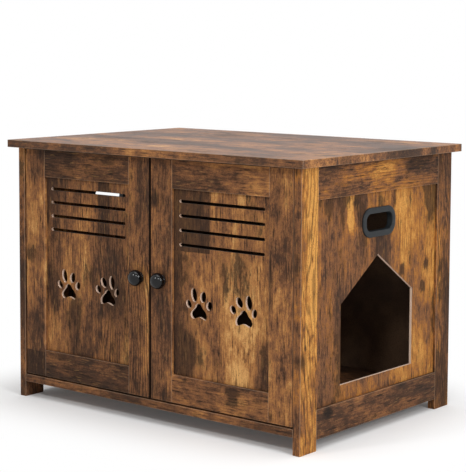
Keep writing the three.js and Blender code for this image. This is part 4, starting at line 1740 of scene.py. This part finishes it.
@dataclass
class Door:
    """A framed door: two stiles, two rails, a pierced panel, a knob and its half of the hinges."""

    side: Side
    prints: dict[str, RusticLaminate]
    slot_count: int = 4
    slot_height: float = 6 * MM
    slot_pitch: float = 27.3 * MM
    slot_drop: float = 23.4 * MM
    slot_end_margin: float = 14 * MM
    paw_spacing: float = 107 * MM
    paw_lift: float = 125 * MM
    cup_screw_spread: float = 45 * MM
    flange_offset: float = 2.5 * MM

    @property
    def body(self) -> str:
        """The door's body."""
        return f"{self.side.word}_door"

    def build(
        self, frame: Frame, pierced: GeometryGraph, screws: GeometryGraph
    ) -> list[bpy.types.Object]:
        """Makes every piece of the door.

        Args:
            frame: The loaded frame.
            pierced: The tree of this door's panel.
            screws: The tree of the screw heads.

        Returns:
            The finished pieces.
        """
        body = self.body
        pieces = []
        for part in ("hinge_stile", "meeting_stile", "top_rail", "bottom_rail"):
            node = f"{body}_{part}"
            board = WorkedBoard(node, self.prints[node], "board_dark", body, arris=0.6 * MM)
            pieces.append(board.build(frame))
        pieces.append(self._panel(pierced))
        pieces.append(Knob(f"{body}_knob", body).build())
        fittings = [f"{self.side.word}_{level}_hinge_cup" for level in LEVELS]
        fittings += [f"{body}_knob_screw", f"{body}_strike_plate"]
        pieces += [DressedSolid(node, STEEL, "steel_zinc", body).build(frame) for node in fittings]
        return [*pieces, self._screw_heads(screws)]

    def _panel(self, tree: GeometryGraph) -> bpy.types.Object:
        """The recessed panel with its slots and paws.

        Args:
            tree: The panel's tree.

        Returns:
            The finished piece.
        """
        node = f"{self.body}_panel"
        low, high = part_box(node)
        middle = box_middle(node)
        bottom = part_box(f"{self.body}_bottom_rail")[1].z
        left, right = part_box(f"{self.body}_top_rail")
        loops = []
        for mirror in (1, -1):
            centre = (-mirror * self.paw_spacing / 2, bottom + self.paw_lift - middle.z)
            loops += Paw(mirror).outlines(centre)
        piece = tree.run(f"{node}_pierced", loops_mesh(node, loops), {
            "Panel Width": high.x - low.x, "Panel Height": high.z - low.z,
            "Thickness": high.y - low.y, "Slot Count": self.slot_count,
            "Slot Length": right.x - left.x - 2 * self.slot_end_margin,
            "Slot Height": self.slot_height, "Slot Pitch": self.slot_pitch,
            "First Slot": left.z - self.slot_drop - middle.z,
            "Centre": (middle.x, high.y, middle.z),
        })
        return fitted(piece, self.body, (node,))

    def _screw_heads(self, tree: GeometryGraph) -> bpy.types.Object:
        """The heads of the hinge cups' screws and of the strike plate's one.

        Args:
            tree: The screws' tree.

        Returns:
            The finished piece.
        """
        places = []
        for level in LEVELS:
            cup = f"{self.side.word}_{level}_hinge_cup"
            x, _, z = box_middle(cup)
            across = x - self.side.value * self.flange_offset / 2
            places += pair(across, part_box(cup)[1].y, z, Vector((0, 0, self.cup_screw_spread)))
        strike = f"{self.body}_strike_plate"
        x, _, z = box_middle(strike)
        places.append((x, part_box(strike)[1].y, z))
        seed = DOOR_SCREW_SEED + self.side.value
        return Screws(f"{self.body}_screws", self.body, (0.0, 1.0, 0.0), seed).build(places, tree)


# -- Studio --------------------------------------------------


@dataclass(frozen=True)
class StudioFloor(Finish):
    """White floor that runs out to pure white and keeps the cabinet's shadow."""

    half_width: float = 0.36
    half_depth: float = 0.255
    far: float = 0.24
    lifted: float = 0.05

    def draw(self, graph: ShaderGraph) -> bpy.types.Material:
        """Draws a white floor that shows as plain white away from the cabinet.

        Args:
            graph: The material's empty tree.

        Returns:
            The finished material.
        """
        halves = (self.half_width, self.half_depth)
        x, y = (
            (place.math("ABSOLUTE") - half).math("MAXIMUM", 0.0)
            for place, half in zip(graph.parts(graph.place()), halves)
        )
        beyond = (x * x + y * y).math("SQRT").between(0.0, self.far)
        matt = graph.add("ShaderNodeBsdfDiffuse", {}, {"Color": (0.94, 0.94, 0.94)})
        white = graph.add("ShaderNodeEmission", {}, {"Color": WHITE, "Strength": 1.0})
        share = graph.background_rays() * (beyond * (1.0 - self.lifted) + self.lifted)
        return graph.close(graph.add("ShaderNodeMixShader", {}, {0: share, 1: matt, 2: white}))


@dataclass
class Lamp:
    """A soft rectangular lamp that faces a point."""

    name: str
    place: Point
    size: tuple[float, float]
    watts: float
    target: Point = (0.0, -0.1, 0.28)

    def build(self) -> bpy.types.Object:
        """Hangs the lamp.

        Returns:
            The lamp's object.
        """
        data = bpy.data.lights.new(self.name, "AREA")
        data.shape = "RECTANGLE"
        data.size, data.size_y = self.size
        data.energy = self.watts
        lamp = bpy.data.objects.new(self.name, data)
        lamp.location = self.place
        aim = Vector(self.target) - Vector(self.place)
        lamp.rotation_euler = aim.to_track_quat("-Z", "Y").to_euler()
        bpy.context.scene.collection.objects.link(lamp)
        return lamp


@dataclass
class Studio:
    """The floor, the world, the lamps and the camera."""

    focal_pixels: float = 1521.4
    image_height: float = 472.0
    sensor: float = 36.0
    camera_place: Point = (1.937, -2.3662, 0.7504)
    yaw: float = 39.242
    pitch: float = 5.007
    roll: float = 0.244
    shift: float = -0.15
    ambient: float = 0.36

    def build(self) -> None:
        """Sets everything that isn't part of the cabinet."""
        self._floor()
        self._world()
        for lamp in self._lamps():
            lamp.build()
        self._camera()
        bpy.context.scene.view_settings.view_transform = "Standard"

    @staticmethod
    def _lamps() -> list[Lamp]:
        """The lamps, the strongest first.

        Returns:
            The lamps, still to be hung.
        """
        small = (0.26, 0.34)
        return [
            Lamp("overhead", (0.2, 0.1, 2.6), (2.4, 2.4), 44.0),
            Lamp("front_left", (-0.39, -2.07, 1.80), small, 9.0),
            Lamp("front_middle", (1.24, -1.78, 1.67), small, 9.0),
            Lamp("front_right", (1.98, -0.88, 1.48), small, 11.0),
            Lamp("right", (2.30, -0.50, 1.02), small, 11.0),
        ]

    @staticmethod
    def _floor() -> None:
        """Lays the floor."""
        mesh = bpy.data.meshes.new("studio_floor")
        signs = ((-1, -1), (1, -1), (1, 1), (-1, 1))
        ends = [(x * FLOOR_REACH, y * FLOOR_REACH, 0.0) for x, y in signs]
        mesh.from_pydata(ends, [], [(0, 1, 2, 3)])
        shown("studio_floor", mesh, (StudioFloor("studio_white"),))

    def _world(self) -> None:
        """A soft grey light all round that the camera and reflections see as white."""
        world = bpy.data.worlds.new("studio_world")
        bpy.context.scene.world = world
        world.use_nodes = True
        graph = Graph(world.node_tree)
        strength = graph.background_rays() * (1.0 - self.ambient) + self.ambient
        sky = graph.add("ShaderNodeBackground", {}, {"Color": WHITE, "Strength": strength})
        graph.node("ShaderNodeOutputWorld", {}, {"Surface": sky})

    def _camera(self) -> None:
        """Sets the camera as the photograph's stood."""
        data = bpy.data.cameras.new("studio_camera")
        data.sensor_width = self.sensor
        data.lens = self.focal_pixels * self.sensor / self.image_height
        data.shift_y = self.shift
        data.clip_end = CAMERA_REACH
        camera = bpy.data.objects.new("studio_camera", data)
        camera.matrix_world = Matrix.Translation(self.camera_place)
        for angle, axis in ((self.yaw, "Z"), (90 - self.pitch, "X"), (self.roll, "Z")):
            camera.matrix_world = camera.matrix_world @ Matrix.Rotation(math.radians(angle), 4, axis)
        bpy.context.scene.collection.objects.link(camera)
        bpy.context.scene.camera = camera


# -- The whole -----------------------------------------------


# How a patch ends: at a plank's seam, at a fold, with faded plank ends, and round a knot.
STRAIGHT = {"soft": (1.0, 1.0), "ragged": 0.6}
CRISP = {"soft": (0.2, 0.2), "ragged": 0.0}
EDGE = {"soft": (1.5, 20.0), "ragged": 1.5}
KNOT = {"soft": (7.0, 11.0), "ragged": 5.0}
SMALL_KNOT = {"soft": (6.0, 10.0), "ragged": 5.0}
# The warmer print of the boards on the side of the cat opening.
RICH = {"amber": srgb("#a66c34"), "honey": srgb("#cd934c")}


def printed(
    node: str, grain: Axis, thin: Axis, seed: float, *patches: Patch, **tones: Any
) -> RusticLaminate:
    """The print of one board.

    Args:
        node: The board's node.
        grain: The axis that its planks run along.
        thin: The axis that it is thin along.
        seed: Where in the endless print it is cut from.
        patches: Its patches.
        tones: The tones in which it differs from the usual print.

    Returns:
        The board's finish.
    """
    return RusticLaminate(f"{node}_print", grain, thin, seed, patches=patches, **tones)


def by_node(*prints: RusticLaminate) -> dict[str, RusticLaminate]:
    """The prints under the names of their boards' nodes."""
    return {cover.name.removesuffix("_print"): cover for cover in prints}


def carcass_prints() -> dict[str, RusticLaminate]:
    """The prints of the boards that stand still.

    Returns:
        A finish for each board's node.
    """
    leg_patches = (
        Patch(across=(-245.0, OPEN), warmth=0.22, figure=0.34, **CRISP),
        Patch(across=(-239.0, -225.0), along=(182.0, 202.0), soot=0.35, **KNOT),
    )
    side_patches = (
        Patch(across=(-OPEN, -98.0), warmth=0.02, soot=0.09),
        Patch(across=(-96.0, -76.0), along=(385.0, 450.0), warmth=0.45, soft=(5.0, 14.0)),
        Patch(across=(-70.0, -38.0), along=(340.0, OPEN), soot=0.16),
        Patch(across=(-34.0, 46.0), along=(380.0, OPEN), warmth=0.24, **EDGE),
        Patch(across=(-98.0, 48.0), along=(-OPEN, 380.0), warmth=-0.1),
        Patch(across=(48.0, OPEN), warmth=0.22, soot=0.03, **STRAIGHT),
        Patch(across=(48.0, 63.0), along=(415.0, OPEN), soot=0.22, soft=(1.5, 20.0)),
        Patch(across=(109.0, 127.0), along=(280.0, 352.0), soot=0.2),
        Patch(across=(75.0, 95.0), along=(284.0, 308.0), soot=0.3, **KNOT),
        Patch(across=(153.0, 173.0), along=(248.0, 268.0), soot=0.3, **KNOT),
        Patch(across=(163.0, 183.0), along=(290.0, 308.0), soot=0.28, **KNOT),
        Patch(across=(203.0, OPEN), along=(212.0, 230.0), soot=0.3, **KNOT),
    )
    rail_patch = Patch(along=(92.0, 187.0), across=(485.0, OPEN), soot=0.2)
    x, y, z = Axis
    return by_node(
        printed("top_board", x, z, 3.1, warmth=0.04, gloss=0.12, roughness=0.42),
        printed("bottom_board", x, z, 4.3, warmth=-0.1),
        printed("front_left_leg", z, x, 5.2, warmth=-0.1),
        printed("front_right_leg", z, x, 6.4, *leg_patches, warmth=0.08, soot=-0.12, **RICH),
        printed("rear_left_leg", z, x, 7.7),
        printed("rear_right_leg", z, x, 8.9, figure=0.6, warmth=0.12, soot=0.08, **RICH),
        printed("left_side_panel", z, x, 9.3),
        printed("right_side_panel", z, x, 10.6, *side_patches, warmth=0.06, **RICH),
        printed("left_upper_rail", y, x, 12.3, figure=0.3),
        printed("left_lower_rail", y, x, 16.2, warmth=-0.08),
        printed("right_upper_rail", y, x, 14.0, rail_patch, figure=0.35, soot=-0.03, **RICH),
        printed("right_lower_rail", y, x, 17.9, warmth=-0.12, soot=0.02),
    )


def left_door_prints() -> dict[str, RusticLaminate]:
    """The prints of the left door's boards.

    Returns:
        A finish for each board's node.
    """
    x, y, z = Axis
    return by_node(
        printed(
            "left_door_hinge_stile", z, y, 21.7,
            Patch(along=(-OPEN, 100.0), soot=0.21, **STRAIGHT),
            Patch(along=(285.0, 318.0), across=(-OPEN, -305.0), soot=0.16),
            Patch(along=(100.0, 290.0), across=(-292.0, OPEN), warmth=0.2, **EDGE),
            Patch(across=(-287.3, OPEN), warmth=0.12, soot=-0.2, **CRISP),
        ),
        printed(
            "left_door_meeting_stile", z, y, 23.0,
            Patch(along=(-OPEN, 309.0), warmth=0.14, figure=0.55, **STRAIGHT),
            Patch(along=(309.0, OPEN), warmth=0.05, **STRAIGHT),
            # Painted shade: the stile's wall that faces the door gap is painted near black.
            Patch(across=(-2.8, OPEN), shade=0.96, **CRISP),
        ),
        printed(
            "left_door_panel", z, y, 24.6,
            Patch(across=(-143.0, -112.0), along=(341.0, OPEN), soot=0.2, **EDGE),
            Patch(across=(-232.0, -187.0), along=(-OPEN, 212.0), soot=0.1),
            Patch(across=(-OPEN, -246.0), along=(-OPEN, 190.0), warmth=0.24),
            Patch(across=(-146.0, OPEN), along=(-OPEN, 300.0), warmth=0.05, figure=0.45),
            figure=0.25, warmth=0.04,
        ),
        printed(
            "left_door_top_rail", x, y, 25.9, Patch(along=(-OPEN, -200.0), soot=0.2), warmth=0.02
        ),
        printed("left_door_bottom_rail", x, y, 27.3, warmth=-0.06, soot=0.16),
    )


def right_door_prints() -> dict[str, RusticLaminate]:
    """The prints of the right door's boards.

    Returns:
        A finish for each board's node.
    """
    x, y, z = Axis
    return by_node(
        printed(
            "right_door_hinge_stile", z, y, 30.8,
            Patch(across=(-OPEN, 298.0), along=(240.0, 345.0), soot=0.16),
            Patch(along=(-OPEN, 133.0), warmth=0.14, **STRAIGHT),
            warmth=0.1,
        ),
        printed(
            "right_door_meeting_stile", z, y, 32.1,
            Patch(along=(410.0, OPEN), soot=0.18),
            # Painted shade: the stile's wall that faces the door gap is painted near black.
            Patch(across=(-OPEN, 2.8), shade=0.96, **CRISP),
            Patch(across=(55.2, OPEN), warmth=0.14, soot=-0.2, **CRISP),
            warmth=-0.02, soot=-0.02,
        ),
        printed(
            "right_door_panel", z, y, 33.7,
            Patch(across=(-OPEN, 144.0), along=(341.0, OPEN), soot=0.34, **STRAIGHT),
            Patch(across=(-OPEN, 105.0), along=(-OPEN, 343.0), soot=0.15, soft=(14.0, 20.0)),
            Patch(across=(-OPEN, 179.0), along=(-OPEN, 178.0), soot=0.28, ragged=12.0),
            Patch(
                across=(179.0, 251.0), along=(-OPEN, 205.0), warmth=0.13, soot=-0.2,
                soft=(1.5, 10.0), ragged=3.0,
            ),
            Patch(across=(255.0, OPEN), along=(-OPEN, 200.0), soot=0.13),
            Patch(across=(110.0, 282.0), along=(205.0, 345.0), warmth=0.12, soft=(14.0, 20.0)),
            warmth=0.1, soot=-0.02,
        ),
        printed(
            "right_door_top_rail", x, y, 35.0,
            Patch(along=(115.0, 133.0), across=(468.0, 504.0), soot=0.2, **SMALL_KNOT),
            Patch(along=(228.0, 254.0), across=(466.0, 482.0), soot=0.2, **SMALL_KNOT),
            warmth=0.03,
        ),
        printed(
            "right_door_bottom_rail", x, y, 36.4,
            Patch(along=(76.0, 96.0), across=(88.0, 104.0), soot=0.22, **SMALL_KNOT),
            Patch(along=(190.0, 216.0), across=(66.0, 100.0), soot=0.18, **SMALL_KNOT),
            warmth=0.08,
        ),
    )


def corners(box: tuple[Vector, Vector]) -> list[list[float]]:
    """A box as plain lists of numbers."""
    return [[float(value) for value in corner] for corner in box]


def main() -> None:
    """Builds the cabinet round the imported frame, then the studio."""
    logging.basicConfig(level=logging.INFO, format="%(name)s: %(message)s")
    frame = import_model()
    prints = carcass_prints() | left_door_prints() | right_door_prints()
    screws = screw_tree(STEEL)
    moulding = frame_moulding_tree(SATIN)
    pieces = Carcass(prints).build(frame, moulding, screws)
    for side in Side:
        ends = tuple(sorted(side.value * end for end in SLOT_WALL_ENDS))
        cut = RawFibreboard(f"{side.word}_door_cuts", slot_ends=ends, lowest_slot=LOWEST_SLOT)
        pierced = pierced_panel_tree(prints[f"{side.word}_door_panel"], cut)
        pieces += Door(side, prints).build(frame, pierced, screws)
    Studio().build()
    LOG.info("%d pieces are dressed", len(pieces))


if __name__ == "__main__":
    main()
